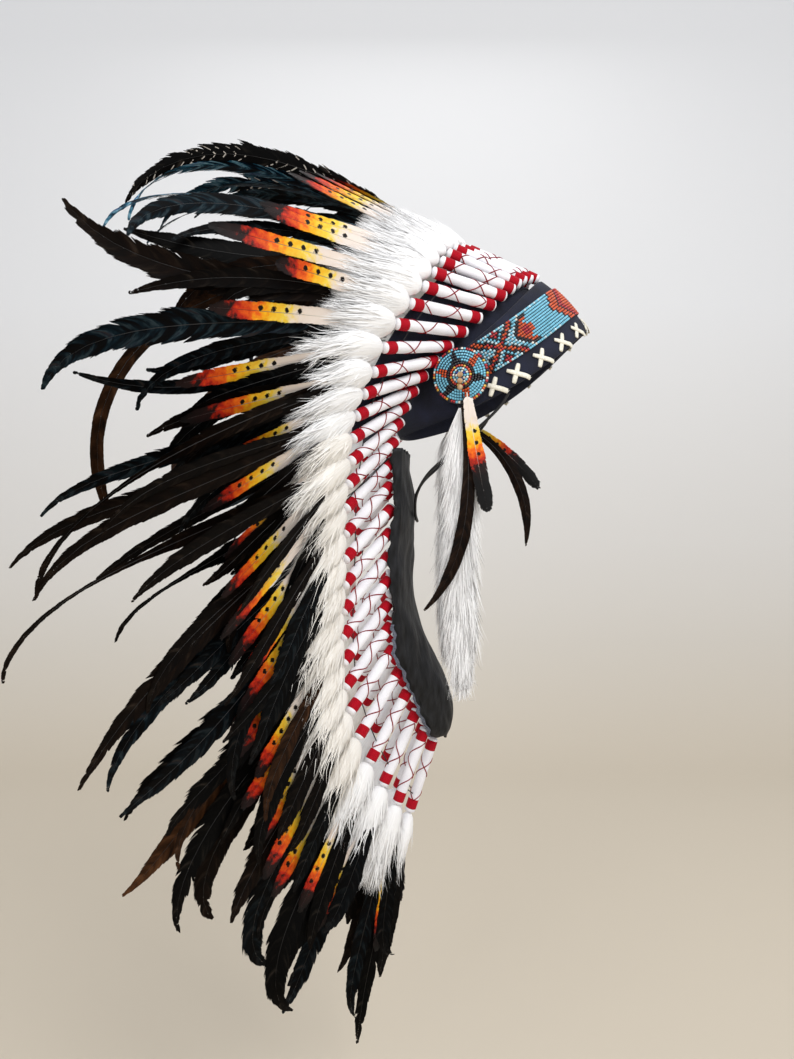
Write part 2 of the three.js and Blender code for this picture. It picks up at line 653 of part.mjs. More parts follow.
addPiece('cap', cap(), 'felt');
addPiece('headband', headband(), 'felt');
addPiece('beaded_strip', beadedStrip(), 'beads');
addPiece('fan_flange', flange(), 'felt');
addPiece('trailer_panel', panel(), 'panel');
addPiece('neck_cord', cord(), 'cord');
for (const [name, side] of [['right', -1], ['left', 1]]) {
  addPiece(`rosette_${name}`, rosette(side), 'beads');
  for (let place = 0; place < WOOD_BEADS; place += 1) {
    addPiece(`wood_bead_${name}_${place + 1}`, woodBead(side, place), 'wood');
  }
  addPiece(`fur_drop_${name}`, fromSolid(furDrop(side)), 'fur');
  const black = side > 0 ? DROP_BLACK_LEFT : DROP_BLACK;
  const dyed = side > 0 ? DROP_DYED_LEFT : DROP_DYED;
  addPiece(`drop_black_feather_${name}`, dropFeather(side, black), 'plume');
  addPiece(`drop_painted_feather_${name}`, dropFeather(side, dyed), 'dyed');
}
for (const stretch of stretchRing(QUILL_SPANS)) {
  addPiece(`quills_${stretch.name}`, fromSolid(quillStretch(stretch.units)), 'sleeve');
}
stretchRing(PLUME_SPANS).forEach((stretch, i, ring) => {
  const after = ring[(i + 1) % ring.length].units;
  const before = ring[(i + ring.length - 1) % ring.length].units;
  addPiece(`plumes_${stretch.name}`, fromSolid(plumeStretch(stretch.units, after, before)), 'plume');
});

export default headdress;
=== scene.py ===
"""Feathered headdress: its looks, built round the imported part.

Lengths are in millimetres until a mesh is made. +Z is up, the brow faces -Y and the wearer's
right is -X. The origin is the centre of the head opening.
"""

import bmesh
import bpy
import numpy as np
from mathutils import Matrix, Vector


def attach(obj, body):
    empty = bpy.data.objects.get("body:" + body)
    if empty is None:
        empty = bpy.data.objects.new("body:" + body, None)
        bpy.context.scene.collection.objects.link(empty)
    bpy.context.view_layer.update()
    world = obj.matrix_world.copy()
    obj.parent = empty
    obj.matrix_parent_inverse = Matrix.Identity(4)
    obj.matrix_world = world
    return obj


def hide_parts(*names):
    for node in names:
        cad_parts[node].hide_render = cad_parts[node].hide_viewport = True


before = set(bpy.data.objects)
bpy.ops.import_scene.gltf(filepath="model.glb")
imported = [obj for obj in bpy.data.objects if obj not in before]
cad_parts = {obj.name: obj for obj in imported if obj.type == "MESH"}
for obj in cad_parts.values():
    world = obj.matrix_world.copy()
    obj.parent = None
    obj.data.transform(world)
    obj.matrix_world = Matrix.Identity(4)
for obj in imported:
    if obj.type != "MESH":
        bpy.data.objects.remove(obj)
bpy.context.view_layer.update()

METRES = 0.001
BODY = "root"
SIDES = (("right", -1), ("left", 1))


def in_scene(name, data):
    """A new object with this data, in the scene."""
    made = bpy.data.objects.new(name, data)
    bpy.context.scene.collection.objects.link(made)
    return made


# ---------------------------------------------------------------------------------------------
# Camera and cord
# ---------------------------------------------------------------------------------------------

CAMERA_AT = (-0.880, 0.1034, -0.1562)
CAMERA_LENS = 27.2
CAMERA_SENSOR = 36

CORD_WIDE = 3.0
CORD_HALF = (
    # side, back, up
    (82.5, -8, -19.5),
    (80, -2, -30),
    (77, 14, -47),
    (72, 38, -67),
    (66, 58, -86),
    (58, 73, -101),
    (46, 83, -120),
    (28, 84, -138),
)
CORD_NAPE = (0, 81, -147)


def place_camera():
    """On the wearer's right, level with the trailer's top, looking straight across."""
    lens = bpy.data.cameras.new("camera")
    lens.lens = CAMERA_LENS
    lens.sensor_width = CAMERA_SENSOR
    lens.clip_end = 50
    camera = in_scene("camera", lens)
    camera.location = CAMERA_AT
    camera.rotation_euler = Vector((1, 0, 0)).to_track_quat("-Z", "Y").to_euler()
    bpy.context.scene.camera = camera


place_camera()


# ---------------------------------------------------------------------------------------------
# Small tools
# ---------------------------------------------------------------------------------------------


def unit_length(vectors):
    """Vectors along the last axis, each cut to a length of 1."""
    return vectors / np.linalg.norm(vectors, axis=-1, keepdims=True)


def smooth(values):
    """Eases from 0 to 1, level at both ends."""
    values = np.clip(values, 0, 1)
    return values * values * (3 - 2 * values)


def full_turn(sides):
    """Angles once round, evenly spaced."""
    return np.arange(sides) / sides * 2 * np.pi


def paired(first, second):
    """Two arrays that broadcast together, as the last axis of one array."""
    return np.stack(np.broadcast_arrays(first, second), -1)


def run_along(points):
    """The distance run at each point of a line."""
    steps = np.linalg.norm(np.diff(points, axis=0), axis=1)
    return np.concatenate([[0], np.cumsum(steps)])


def closed_ends(rows):
    """Rings of a sheet's section, with one more at each end that shuts the sheet."""
    ends = [(row + row[::-1]) / 2 for row in (rows[0], rows[-1])]
    return np.concatenate([[ends[0]], rows, [ends[1]]])


def waves(places, seed, pitch):
    """Smooth noise from -1 to 1 along a line, with bumps about one pitch apart."""
    chance = np.random.default_rng(seed)
    total = np.zeros_like(places, dtype=float)
    for octave in range(3):
        phase = chance.uniform(0, 2 * np.pi)
        total += np.sin(places / pitch * 2 * np.pi * 1.618**octave + phase) / (octave + 1.5)
    return total / 1.3


class Pile:
    """Grids of points gathered into one mesh."""

    def __init__(self):
        self.points, self.uvs, self.tones, self.faces, self.slots = [], [], [], [], []
        self.count = 0

    def add(self, points, uv=(0, 0), tone=0.0, slot=0, ring=False):
        """points is rows x columns x 3, or many such grids. ring joins last column to first."""
        points = np.asarray(points, float)
        if points.ndim == 3:
            points = points[None]
        grids, rows, columns = points.shape[:3]
        here = np.arange(grids * rows * columns).reshape(grids, rows, columns) + self.count
        if ring:
            here = np.concatenate([here, here[:, :, :1]], axis=2)
        quads = np.stack(
            [here[:, :-1, :-1], here[:, :-1, 1:], here[:, 1:, 1:], here[:, 1:, :-1]], axis=-1
        ).reshape(-1, 4)
        total = grids * rows * columns
        self.points.append(points.reshape(-1, 3))
        self.uvs.append(np.broadcast_to(uv, points.shape[:3] + (2,)).reshape(-1, 2))
        tone = np.asarray(tone, float)
        tone = tone if tone.ndim in (0, 3) else tone.reshape(tone.shape + (1,) * (3 - tone.ndim))
        self.tones.append(np.broadcast_to(tone, points.shape[:3]).reshape(-1))
        self.faces.append(quads)
        self.slots.append(np.full(len(quads), slot))
        self.count += total

    def make(self, name, materials, record_slot, replaced=(), tints=None):
        """The mesh as a piece that rides on the body, in metres."""
        points = np.concatenate(self.points) * METRES
        faces = np.concatenate(self.faces)
        mesh = bpy.data.meshes.new(name)
        mesh.vertices.add(len(points))
        mesh.vertices.foreach_set("co", points.ravel())
        mesh.loops.add(faces.size)
        mesh.loops.foreach_set("vertex_index", faces.ravel())
        mesh.polygons.add(len(faces))
        mesh.polygons.foreach_set("loop_start", np.arange(0, faces.size, 4))
        mesh.polygons.foreach_set("loop_total", np.full(len(faces), 4))
        mesh.polygons.foreach_set("material_index", np.concatenate(self.slots))
        mesh.polygons.foreach_set("use_smooth", np.ones(len(faces), bool))
        uvs = mesh.uv_layers.new(name="UVMap")
        uvs.data.foreach_set("uv", np.concatenate(self.uvs)[faces.ravel()].ravel())
        tone = mesh.attributes.new("tone", "FLOAT", "POINT")
        tone.data.foreach_set("value", np.concatenate(self.tones))
        if tints is not None:
            tint = mesh.attributes.new("tint", "FLOAT_COLOR", "POINT")
            tint.data.foreach_set("color", tints.ravel())
        mesh.update()
        for material in materials:
            mesh.materials.append(material)
        piece = in_scene(name, mesh)
        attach(piece, BODY)
        if replaced:
            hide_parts(*replaced)
        return piece


# Points nearer than this, in metres, are one point.
WELD = 1e-6


def hang(piece):
    """Joins a sheet's shut ends."""
    welded = bmesh.new()
    welded.from_mesh(piece.data)
    bmesh.ops.remove_doubles(welded, verts=welded.verts, dist=WELD)
    welded.to_mesh(piece.data)
    welded.free()


def rings_round(centres, across, facing, radii, sides, flat=1.0):
    """Rings round a line of centres, rows x sides x 3. flat is their depth to their breadth."""
    turn = full_turn(sides)
    radii = np.broadcast_to(radii, len(centres))[:, None, None]
    ring = across[:, None] * np.cos(turn)[None, :, None]
    ring = ring + facing[:, None] * np.sin(turn)[None, :, None] * flat
    return centres[:, None] + ring * radii


def tube(centres, radii, sides, up=(1.0, 0.0, 0.0)):
    """Round rings along a line of centres."""
    centres = np.asarray(centres, float)
    heading = unit_length(np.gradient(centres, axis=0))
    across = unit_length(np.cross(heading, np.broadcast_to(up, heading.shape)))
    return rings_round(centres, across, np.cross(heading, across), radii, sides)


def add_hairs(pile, line, beside, thick, uv, tone):
    """Hairs as flat ribbons of four points: line is hairs x 4 x 3, thick their half breadth."""
    ribbons = np.stack([line + beside * thick, line - beside * thick], axis=2)
    pile.add(ribbons, uv=np.repeat(uv[:, :, None], 2, axis=2), tone=tone[:, None, None])


# ---------------------------------------------------------------------------------------------
# Materials
# ---------------------------------------------------------------------------------------------


def linear(code):
    """An sRGB hex colour as linear RGBA."""
    parts = [int(code[i : i + 2], 16) / 255 for i in (1, 3, 5)]
    return [c / 12.92 if c <= 0.04045 else ((c + 0.055) / 1.055) ** 2.4 for c in parts] + [1.0]


def add_node(tree, kind, links=None, stops=None, **settings):
    """Adds a shader node. links sets its sockets by name or place, from a socket or a value."""
    made = tree.nodes.new("ShaderNode" + kind)
    for key, value in settings.items():
        setattr(made, key, value)
    for key, value in (links or {}).items():
        if isinstance(value, bpy.types.NodeSocket):
            tree.links.new(value, made.inputs[key])
        else:
            made.inputs[key].default_value = linear(value) if isinstance(value, str) else value
    if stops:
        marks = made.color_ramp.elements
        while len(marks) < len(stops):
            marks.new(0.5)
        for mark, (place, code) in zip(marks, stops):
            mark.position = place
            mark.color = linear(code)
    return made


def new_material(name, **finish):
    """A material with one Principled shader, whose own sockets take the finish."""
    material = bpy.data.materials.new(name)
    material.use_nodes = True
    tree = material.node_tree
    tree.nodes.clear()
    links = {key.replace("_", " "): value for key, value in finish.items()}
    shader = add_node(tree, "BsdfPrincipled", links)
    add_node(tree, "OutputMaterial", {"Surface": shader.outputs[0]})
    return material, tree, shader


def per_mm(size):
    """Texture scale in object space, in metres, that repeats once every size millimetres."""
    return 1 / (size * METRES)


def per_uv(one_unit, sizes):
    """Texture scale in UV that repeats once every so many millimetres along and across, where
    one unit of UV is one_unit millimetres."""
    return one_unit[0] / sizes[0], one_unit[1] / sizes[1], 1


def wool_felt(name, dark, light, sheen):
    """Pressed wool felt: dull, with short fibres that catch light as fine fuzz."""
    material, tree, shader = new_material(name, Roughness=0.95, Sheen_Weight=sheen)
    place = add_node(tree, "TexCoord").outputs["Object"]
    # The fibres are 0.03 mm, drawn as a grain of about 1 mm so that they show.
    fibres = add_node(tree, "TexNoise", {0: place, "Scale": per_mm(1.0), "Detail": 6})
    patches = add_node(tree, "TexNoise", {0: place, "Scale": per_mm(22), "Detail": 3})
    mixed = add_node(
        tree, "MixRGB", {0: 0.35, 1: patches.outputs["Fac"], 2: fibres.outputs["Fac"]}
    )
    colour = add_node(
        tree, "ValToRGB", {0: mixed.outputs[0]}, stops=[(0.3, dark), (0.7, light)]
    )
    tree.links.new(colour.outputs[0], shader.inputs["Base Color"])
    bump = add_node(
        tree, "Bump", {"Height": fibres.outputs["Fac"], "Strength": 0.5, "Distance": 0.0006}
    )
    tree.links.new(bump.outputs[0], shader.inputs["Normal"])
    return material


def red_thread():
    """Mercerised cotton thread: a painted shine on each winding and painted shade in its grooves.
    """
    material, tree, shader = new_material(
        "red_cotton_thread", Roughness=0.6, Specular_IOR_Level=0.15
    )
    place = add_node(tree, "UVMap").outputs["UV"]
    # UV x runs once every 0.9 mm of the wrap. This wave repeats every 0.63 of that, so a winding
    # is about 0.57 mm.
    windings = add_node(
        tree, "TexWave", {0: place, "Scale": 0.5, "Distortion": 0.6, "Detail": 1}
    )
    # The windings' colour is painted light: dark in the grooves as painted shade, bright on their
    # crowns as a painted highlight.
    colour = add_node(
        tree,
        "ValToRGB",
        {0: windings.outputs["Fac"]},
        stops=[(0.0, "#80000f"), (0.5, "#c00820"), (1.0, "#d4102a")],
    )
    tree.links.new(colour.outputs[0], shader.inputs["Base Color"])
    bump = add_node(
        tree, "Bump", {"Height": windings.outputs["Fac"], "Strength": 0.6, "Distance": 0.0004}
    )
    tree.links.new(bump.outputs[0], shader.inputs["Normal"])
    return material


def fur_hair(name, shade, body, tip):
    """Guard hair over down: white, a soft shine, painted shade in fine streaks, some hairs tipped
    dark.
    """
    material, tree, shader = new_material(name, Roughness=0.8, Sheen_Weight=0.15)
    place = add_node(tree, "UVMap").outputs["UV"]
    along = add_node(tree, "SeparateXYZ", {0: place})
    # Painted shade between locks of hairs makes streaks 25 mm long and 0.9 mm wide. UV is once
    # down a hair of 37.5 mm and once every 8.1 mm round a tuft.
    streak = per_uv((37.5, 8.1), (25, 0.9))
    stretched = add_node(tree, "Mapping", {0: place, "Scale": streak})
    streaks = add_node(tree, "TexNoise", {0: stretched.outputs[0], "Scale": 1.0, "Detail": 4})
    # Painted shade: darker between the locks, white on them.
    pale = add_node(
        tree, "ValToRGB", {0: streaks.outputs["Fac"]}, stops=[(0.3, shade), (0.6, body)]
    )
    darkness = add_node(tree, "Attribute", attribute_name="tone")
    reach = add_node(
        tree, "MapRange", {0: along.outputs[0], 1: 0.45, 2: 0.85}, interpolation_type="SMOOTHSTEP"
    )
    amount = add_node(
        tree,
        "Math",
        {0: reach.outputs[0], 1: darkness.outputs["Fac"]},
        operation="MULTIPLY",
        use_clamp=True,
    )
    mixed = add_node(tree, "MixRGB", {0: amount.outputs[0], 1: pale.outputs[0], 2: tip})
    tree.links.new(mixed.outputs[0], shader.inputs["Base Color"])
    bump = add_node(
        tree, "Bump", {"Height": streaks.outputs["Fac"], "Strength": 0.4, "Distance": 0.001}
    )
    tree.links.new(bump.outputs[0], shader.inputs["Normal"])
    return material


# A barred feather's usual length, and its bars and the gaps in them, in millimetres.
BARRED_LONG = 378
BARS_APART = 10.5
GAPS_APART = 54


def black_vane(name, barred=False):
    """Rooster tail feather: brown-black barbs, with a painted blue gloss along some of them."""
    material, tree, shader = new_material(name, Roughness=0.45, Specular_IOR_Level=0.05)
    place = add_node(tree, "UVMap").outputs["UV"]
    share = add_node(tree, "SeparateXYZ", {0: place})
    gloss = add_node(tree, "Attribute", attribute_name="tone")
    # Barbs are 0.5 mm apart. They are drawn as streaks of many, 10 mm wide and 15 mm long, so
    # that they show. UV is once down a feather of 340 mm and once across its vane of 24 mm.
    streak = per_uv((340, 24), (10, 15))
    stretched = add_node(tree, "Mapping", {0: place, "Scale": streak})
    streaks = add_node(tree, "TexNoise", {0: stretched.outputs[0], "Scale": 1.0, "Detail": 3})
    body = add_node(
        tree,
        "ValToRGB",
        {0: share.outputs[0]},
        stops=[(0.0, "#1c1512"), (0.3, "#060505"), (0.8, "#040404"), (1.0, "#0c0806")],
    )
    # The blue gloss is painted into the colour: streaks of painted sheen.
    shine = add_node(
        tree,
        "ValToRGB",
        {0: streaks.outputs["Fac"]},
        stops=[
            (0.36, "#06070a"), (0.46, "#122538"), (0.53, "#2c6c88"), (0.6, "#9fd2e6"),
            (0.66, "#355c94"), (0.78, "#0b0e16"),
        ],
    )
    brown = add_node(
        tree, "ValToRGB", {0: streaks.outputs["Fac"]}, stops=[(0.3, "#1c100a"), (0.7, "#6e4629")]
    )
    # Tone above 0 is painted blue gloss, below 0 is brown.
    blue = add_node(tree, "Clamp", {0: gloss.outputs["Fac"], 1: 0, 2: 1})
    less = add_node(tree, "Math", {0: gloss.outputs["Fac"], 1: -1.0}, operation="MULTIPLY")
    warm = add_node(tree, "Clamp", {0: less.outputs[0], 1: 0, 2: 1})
    # Painted highlights: fine lit barbs over the black.
    glints = add_node(
        tree,
        "ValToRGB",
        {0: streaks.outputs["Fac"]},
        stops=[(0.55, "#000000"), (0.66, "#16130f"), (0.74, "#2a241f"), (0.8, "#050403")],
    )
    lit = add_node(
        tree, "MixRGB", {0: 1.0, 1: body.outputs[0], 2: glints.outputs[0]}, blend_type="ADD"
    )
    first = add_node(tree, "MixRGB", {0: blue.outputs[0], 1: lit.outputs[0], 2: shine.outputs[0]})
    mixed = add_node(tree, "MixRGB", {0: warm.outputs[0], 1: first.outputs[0], 2: brown.outputs[0]})
    colour = mixed
    if barred:
        # Pale lines across the vane, and the gaps that break them.
        bars = BARRED_LONG / BARS_APART
        spaced = add_node(tree, "Math", {0: share.outputs[0], 1: bars}, operation="MULTIPLY")
        part = add_node(tree, "Math", {0: spaced.outputs[0]}, operation="FRACT")
        line = add_node(tree, "Math", {0: part.outputs[0], 1: 0.1}, operation="LESS_THAN")
        gaps = BARRED_LONG / GAPS_APART
        patchy = add_node(tree, "TexNoise", {0: place, "Scale": gaps, "Detail": 2})
        broken = add_node(
            tree, "Math", {0: patchy.outputs["Fac"], 1: 0.5}, operation="GREATER_THAN"
        )
        amount = add_node(
            tree, "Math", {0: line.outputs[0], 1: broken.outputs[0]}, operation="MULTIPLY"
        )
        colour = add_node(tree, "MixRGB", {0: amount.outputs[0], 1: mixed.outputs[0], 2: "#b9b1a6"})
    tree.links.new(colour.outputs[0], shader.inputs["Base Color"])
    return material


def painted_vane():
    """Dyed goose feather: white root, yellow, orange and red bands, black tip and four dots."""
    material, tree, shader = new_material(
        "dyed_goose_vane", Roughness=0.5, Specular_IOR_Level=0.15
    )
    place = add_node(tree, "UVMap").outputs["UV"]
    along = add_node(tree, "Attribute", attribute_name="tone")
    # One unit of UV is the way from dot to dot, 12.5 mm, so the dye's blots are about 5.7 mm.
    blot = add_node(tree, "TexNoise", {0: place, "Scale": 2.2, "Detail": 4})
    shifted = add_node(
        tree,
        "MapRange",
        {0: blot.outputs["Fac"], 1: 0.3, 2: 0.7, 3: -0.05, 4: 0.05},
    )
    share = add_node(tree, "Math", {0: along.outputs["Fac"], 1: shifted.outputs[0]})
    bands = add_node(
        tree,
        "ValToRGB",
        {0: share.outputs[0]},
        stops=[
            (0.0, "#f0eae7"),
            (0.5, "#e9dacd"),
            (0.58, "#f2d24a"),
            (0.68, "#f4b31c"),
            (0.74, "#ee6a1a"),
            (0.82, "#c22a16"),
            (0.88, "#241312"),
            (1.0, "#0b0909"),
        ],
    )
    # UV x counts dots from the first one, UV y is across the vane in the same measure.
    dots = add_node(tree, "SeparateXYZ", {0: place})
    nearest = add_node(tree, "Math", {0: dots.outputs[0]}, operation="ROUND")
    kept = add_node(tree, "Clamp", {0: nearest.outputs[0], 1: 0, 2: 3})
    off = add_node(tree, "Math", {0: dots.outputs[0], 1: kept.outputs[0]}, operation="SUBTRACT")
    spot = add_node(tree, "CombineXYZ", {0: off.outputs[0], 1: dots.outputs[1]})
    reach = add_node(tree, "VectorMath", {0: spot.outputs[0]}, operation="LENGTH")
    # A dot is 4.5 mm across, with a soft edge.
    inside = add_node(
        tree,
        "MapRange",
        {0: reach.outputs["Value"], 1: 0.21, 2: 0.15},
        interpolation_type="SMOOTHSTEP",
    )
    mixed = add_node(
        tree, "MixRGB", {0: inside.outputs[0], 1: bands.outputs[0], 2: "#140d0c"}
    )
    tree.links.new(mixed.outputs[0], shader.inputs["Base Color"])
    return material


def feather_shaft(name, root, tip):
    """Feather rachis: smooth horn with a slight shine."""
    material, tree, shader = new_material(name, Roughness=0.35)
    along = add_node(tree, "SeparateXYZ", {0: add_node(tree, "UVMap").outputs["UV"]})
    colour = add_node(tree, "ValToRGB", {0: along.outputs[0]}, stops=[(0.3, root), (0.8, tip)])
    tree.links.new(colour.outputs[0], shader.inputs["Base Color"])
    return material


def seed_bead_glass():
    """Opaque pressed glass seed beads: hard bright highlights on even colour."""
    material, tree, shader = new_material("seed_bead_glass", Roughness=0.2, Coat_Weight=0.3)
    tint = add_node(tree, "Attribute", attribute_name="tint")
    tree.links.new(tint.outputs["Color"], shader.inputs["Base Color"])
    return material


def grained(name, codes, roughness, grain, depth, stretch=(1, 1, 1), specular=0.5):
    """A surface with a noise grain of one real size, used for leather, wood, cord and cloth."""
    material, tree, shader = new_material(name, Roughness=roughness, Specular_IOR_Level=specular)
    place = add_node(tree, "TexCoord").outputs["Object"]
    stretched = add_node(tree, "Mapping", {0: place, "Scale": stretch})
    noise = add_node(
        tree, "TexNoise", {0: stretched.outputs[0], "Scale": per_mm(grain), "Detail": 5}
    )
    stops = [(0.3 + 0.4 * i / (len(codes) - 1), code) for i, code in enumerate(codes)]
    colour = add_node(tree, "ValToRGB", {0: noise.outputs["Fac"]}, stops=stops)
    tree.links.new(colour.outputs[0], shader.inputs["Base Color"])
    bump = add_node(
        tree, "Bump", {"Height": noise.outputs["Fac"], "Strength": 0.6, "Distance": depth}
    )
    tree.links.new(bump.outputs[0], shader.inputs["Normal"])
    return material


NAVY_FELT = wool_felt("navy_wool_felt", "#0a0c17", "#1b2036", 0.04)
WHITE_FELT = wool_felt("white_wool_felt", "#e6e4ea", "#fdfcff", 0.05)
RED_THREAD = red_thread()
WHITE_FUR = fur_hair("white_fur", "#f2f1f1", "#ffffff", "#43372f")
# The trailer's fur is creamier, and more of its hairs are dark at the tip.
CREAM_FUR = fur_hair("cream_fur", "#ebe5db", "#fbf8f3", "#3a2e26")
BLACK_VANE = black_vane("rooster_tail_vane")
BARRED_VANE = black_vane("barred_rooster_tail_vane", barred=True)
BLACK_SHAFT = feather_shaft("dark_feather_shaft", "#14100e", "#040302")
PAINTED_VANE = painted_vane()
PALE_SHAFT = feather_shaft("pale_feather_shaft", "#efe6d6", "#2a1510")
BEAD_GLASS = seed_bead_glass()
# Cream buckskin lace: dull, soft grain.
CREAM_LACE = grained("cream_buckskin_lace", ("#dcd7c4", "#f8f4e6"), 0.8, 2.0, 0.0004)
# The same lace, browner and darker, for its legs inside the band.
TAN_LACE = grained("tan_buckskin_lace", ("#8d7a62", "#b8a68a"), 0.85, 2.0, 0.0004)
# Turned wood beads: fine grain along the bead and a waxed shine.
BEAD_WOOD = grained("turned_wood", ("#a07a52", "#dcb890"), 0.45, 2.5, 0.0002, (1, 1, 0.25))
# Thin dark glove leather: creased, with dull highlights.
PANEL_LEATHER = grained(
    "dark_glove_leather", ("#0b0b0c", "#27282b"), 0.5, 6.0, 0.002, (1, 1, 0.35), 0.2
)
# The panel's torn edge: grey-blue cloth backing that shows its threads.
TORN_EDGE = grained("torn_cloth_edge", ("#3c404c", "#767c8c"), 0.9, 1.2, 0.0004)
# Braided polyester cord: fine braid and a dull shine.
CORD_BRAID = grained("braided_black_cord", ("#050506", "#1c1c20"), 0.6, 1.2, 0.0003)


# ---------------------------------------------------------------------------------------------
# The row of quills
# ---------------------------------------------------------------------------------------------

ROW_LAST = 29
ROW = np.array(
    [
        # unit, back, up, side, pitch, splay, bow
        (0, -44, 121, 0, 24, 0, 0),
        (2, -26, 111, 28, 21, 11, 0),
        (4, -10, 94, 54, 15, 19, 0),
        (6, 12, 72, 70, 6, 29, 0),
        (8, 41, 42, 79, -3, 34, 0),
        (10, 69, 12, 78, -19, 37, 0),
        (12, 90, -18, 73, -30, 37, 0),
        (14, 104, -50, 66, -43, 37, 4),
        (16, 112, -90, 57, -48, 35, 10),
        (18, 113, -138, 56, -49, 33, 16),
        (20, 115, -187, 56, -50, 31, 16),
        (22, 115, -236, 56, -51, 29, 18),
        (24, 110, -282, 53, -54, 26, 26),
        (26, 95, -331, 38, -60, 17, 34),
        (28, 76, -378, 17, -69, 5, 20),
        (29, 66, -393, 0, -72, 0, 0),
    ],
    float,
)


def row_at(unit):
    """back, up, side, pitch, splay and bow at a place down the row, on a smooth cubic."""
    stops, values = ROW[:, 0], ROW[:, 1:]
    after = int(np.clip(np.searchsorted(stops, unit, side="right"), 1, len(stops) - 1))
    start, end = stops[after - 1], stops[after]
    before_i = after - 2 if after >= 2 else after
    next_i = after + 1 if after + 1 < len(stops) else after - 1
    start_to_before = start - (stops[after - 2] if after >= 2 else end)
    end_to_next = (stops[after + 1] if after + 1 < len(stops) else start) - end
    half = (end - start) / 2
    lead, trail = half / start_to_before, half / end_to_next
    p = (unit - start) / (end - start)
    weights = (
        -lead * p**3 + 2 * lead * p**2 - lead * p,
        (1 + lead) * p**3 + (-1.5 - 2 * lead) * p**2 + (-0.5 + lead) * p + 1,
        (-1 - trail) * p**3 + (1.5 + trail) * p**2 + 0.5 * p,
        trail * p**3 - trail * p**2,
    )
    rows = (before_i, after - 1, after, next_i)
    return sum(weight * values[row] for weight, row in zip(weights, rows))


def row_point(unit, side):
    """A quill's inner red band, as x, y and z."""
    back, up, beside = row_at(unit)[:3]
    return np.array([side * beside, back, up])


def unit_frame(unit, side):
    """Point at a quill's inner red band, with forth along the quill, along down the row, and
    out away from the head."""
    pitch, splay = np.radians(row_at(unit)[3:5])
    forth = np.array(
        [
            side * np.sin(splay),
            np.cos(splay) * np.cos(pitch),
            np.cos(splay) * np.sin(pitch),
        ]
    )
    before = row_point(max(0, unit - 0.05), side)
    after = row_point(min(ROW_LAST, unit + 0.05), side)
    if unit == 0:
        along = np.array([side, 0.0, 0.0])
    elif unit == ROW_LAST:
        along = np.array([-side, 0.0, 0.0])
    else:
        along = after - before
    along = unit_length(along - forth * (along @ forth))
    out = -side * np.cross(forth, along)
    return {"point": row_point(unit, side), "forth": forth, "along": along, "out": out}


def from_unit(axes, forth, along, out):
    """Points at distances along a unit's axes; the distances may be arrays."""
    forth, along, out = (np.asarray(value, float)[..., None] for value in (forth, along, out))
    return axes["point"] + axes["forth"] * forth + axes["along"] * along + axes["out"] * out


QUILL_SPANS = ((2, 5), (6, 9), (10, 12), (13, 15), (16, 19), (20, 23), (24, 27))
PLUME_SPANS = (
    (2, 5), (6, 9), (10, 12), (13, 15), (16, 19), (20, 22), (23, 25), (26, 26), (27, 27),
)


def stretches(spans):
    """Name and units of each stretch of the row, from the brow round to the tail."""
    found = [("brow", [(1, 1), (0, -1), (1, -1)])]
    for name, side in SIDES:
        for place, (first, last) in enumerate(spans, 1):
            units = [(unit, side) for unit in range(first, last + 1)]
            found.append((f"{name}_{place}", units))
    found.append(("tail", [(28, -1), (29, -1), (28, 1)]))
    return found


# ---------------------------------------------------------------------------------------------
# Wrapped quills
# ---------------------------------------------------------------------------------------------

QUILL_RADIUS = 5.65
RED_TO_RED = 68.0
QUILL_END = 9.5
QUILL_TIP = RED_TO_RED + QUILL_END
QUILL_SIDES = 16
BAND_HALF = 5.5
# Millimetres of a wrap for each unit of its UV.
WRAP_UV = 0.9
THREAD_RADIUS = 0.6
CROSSINGS = 3
# Place of the thread that joins the quills, as a share of the way to the outer band.
JOINED_AT = 0.85


def around(axes, forth, radii, sides, wobble=0.0):
    """Rings round a quill's axis at distances forth along it."""
    turn = full_turn(sides)
    radii = np.asarray(radii, float)[:, None] * (1 + wobble)
    forth = np.broadcast_to(np.asarray(forth, float)[:, None], radii.shape[:1] + (sides,))
    return from_unit(axes, forth, radii * np.cos(turn), radii * np.sin(turn))


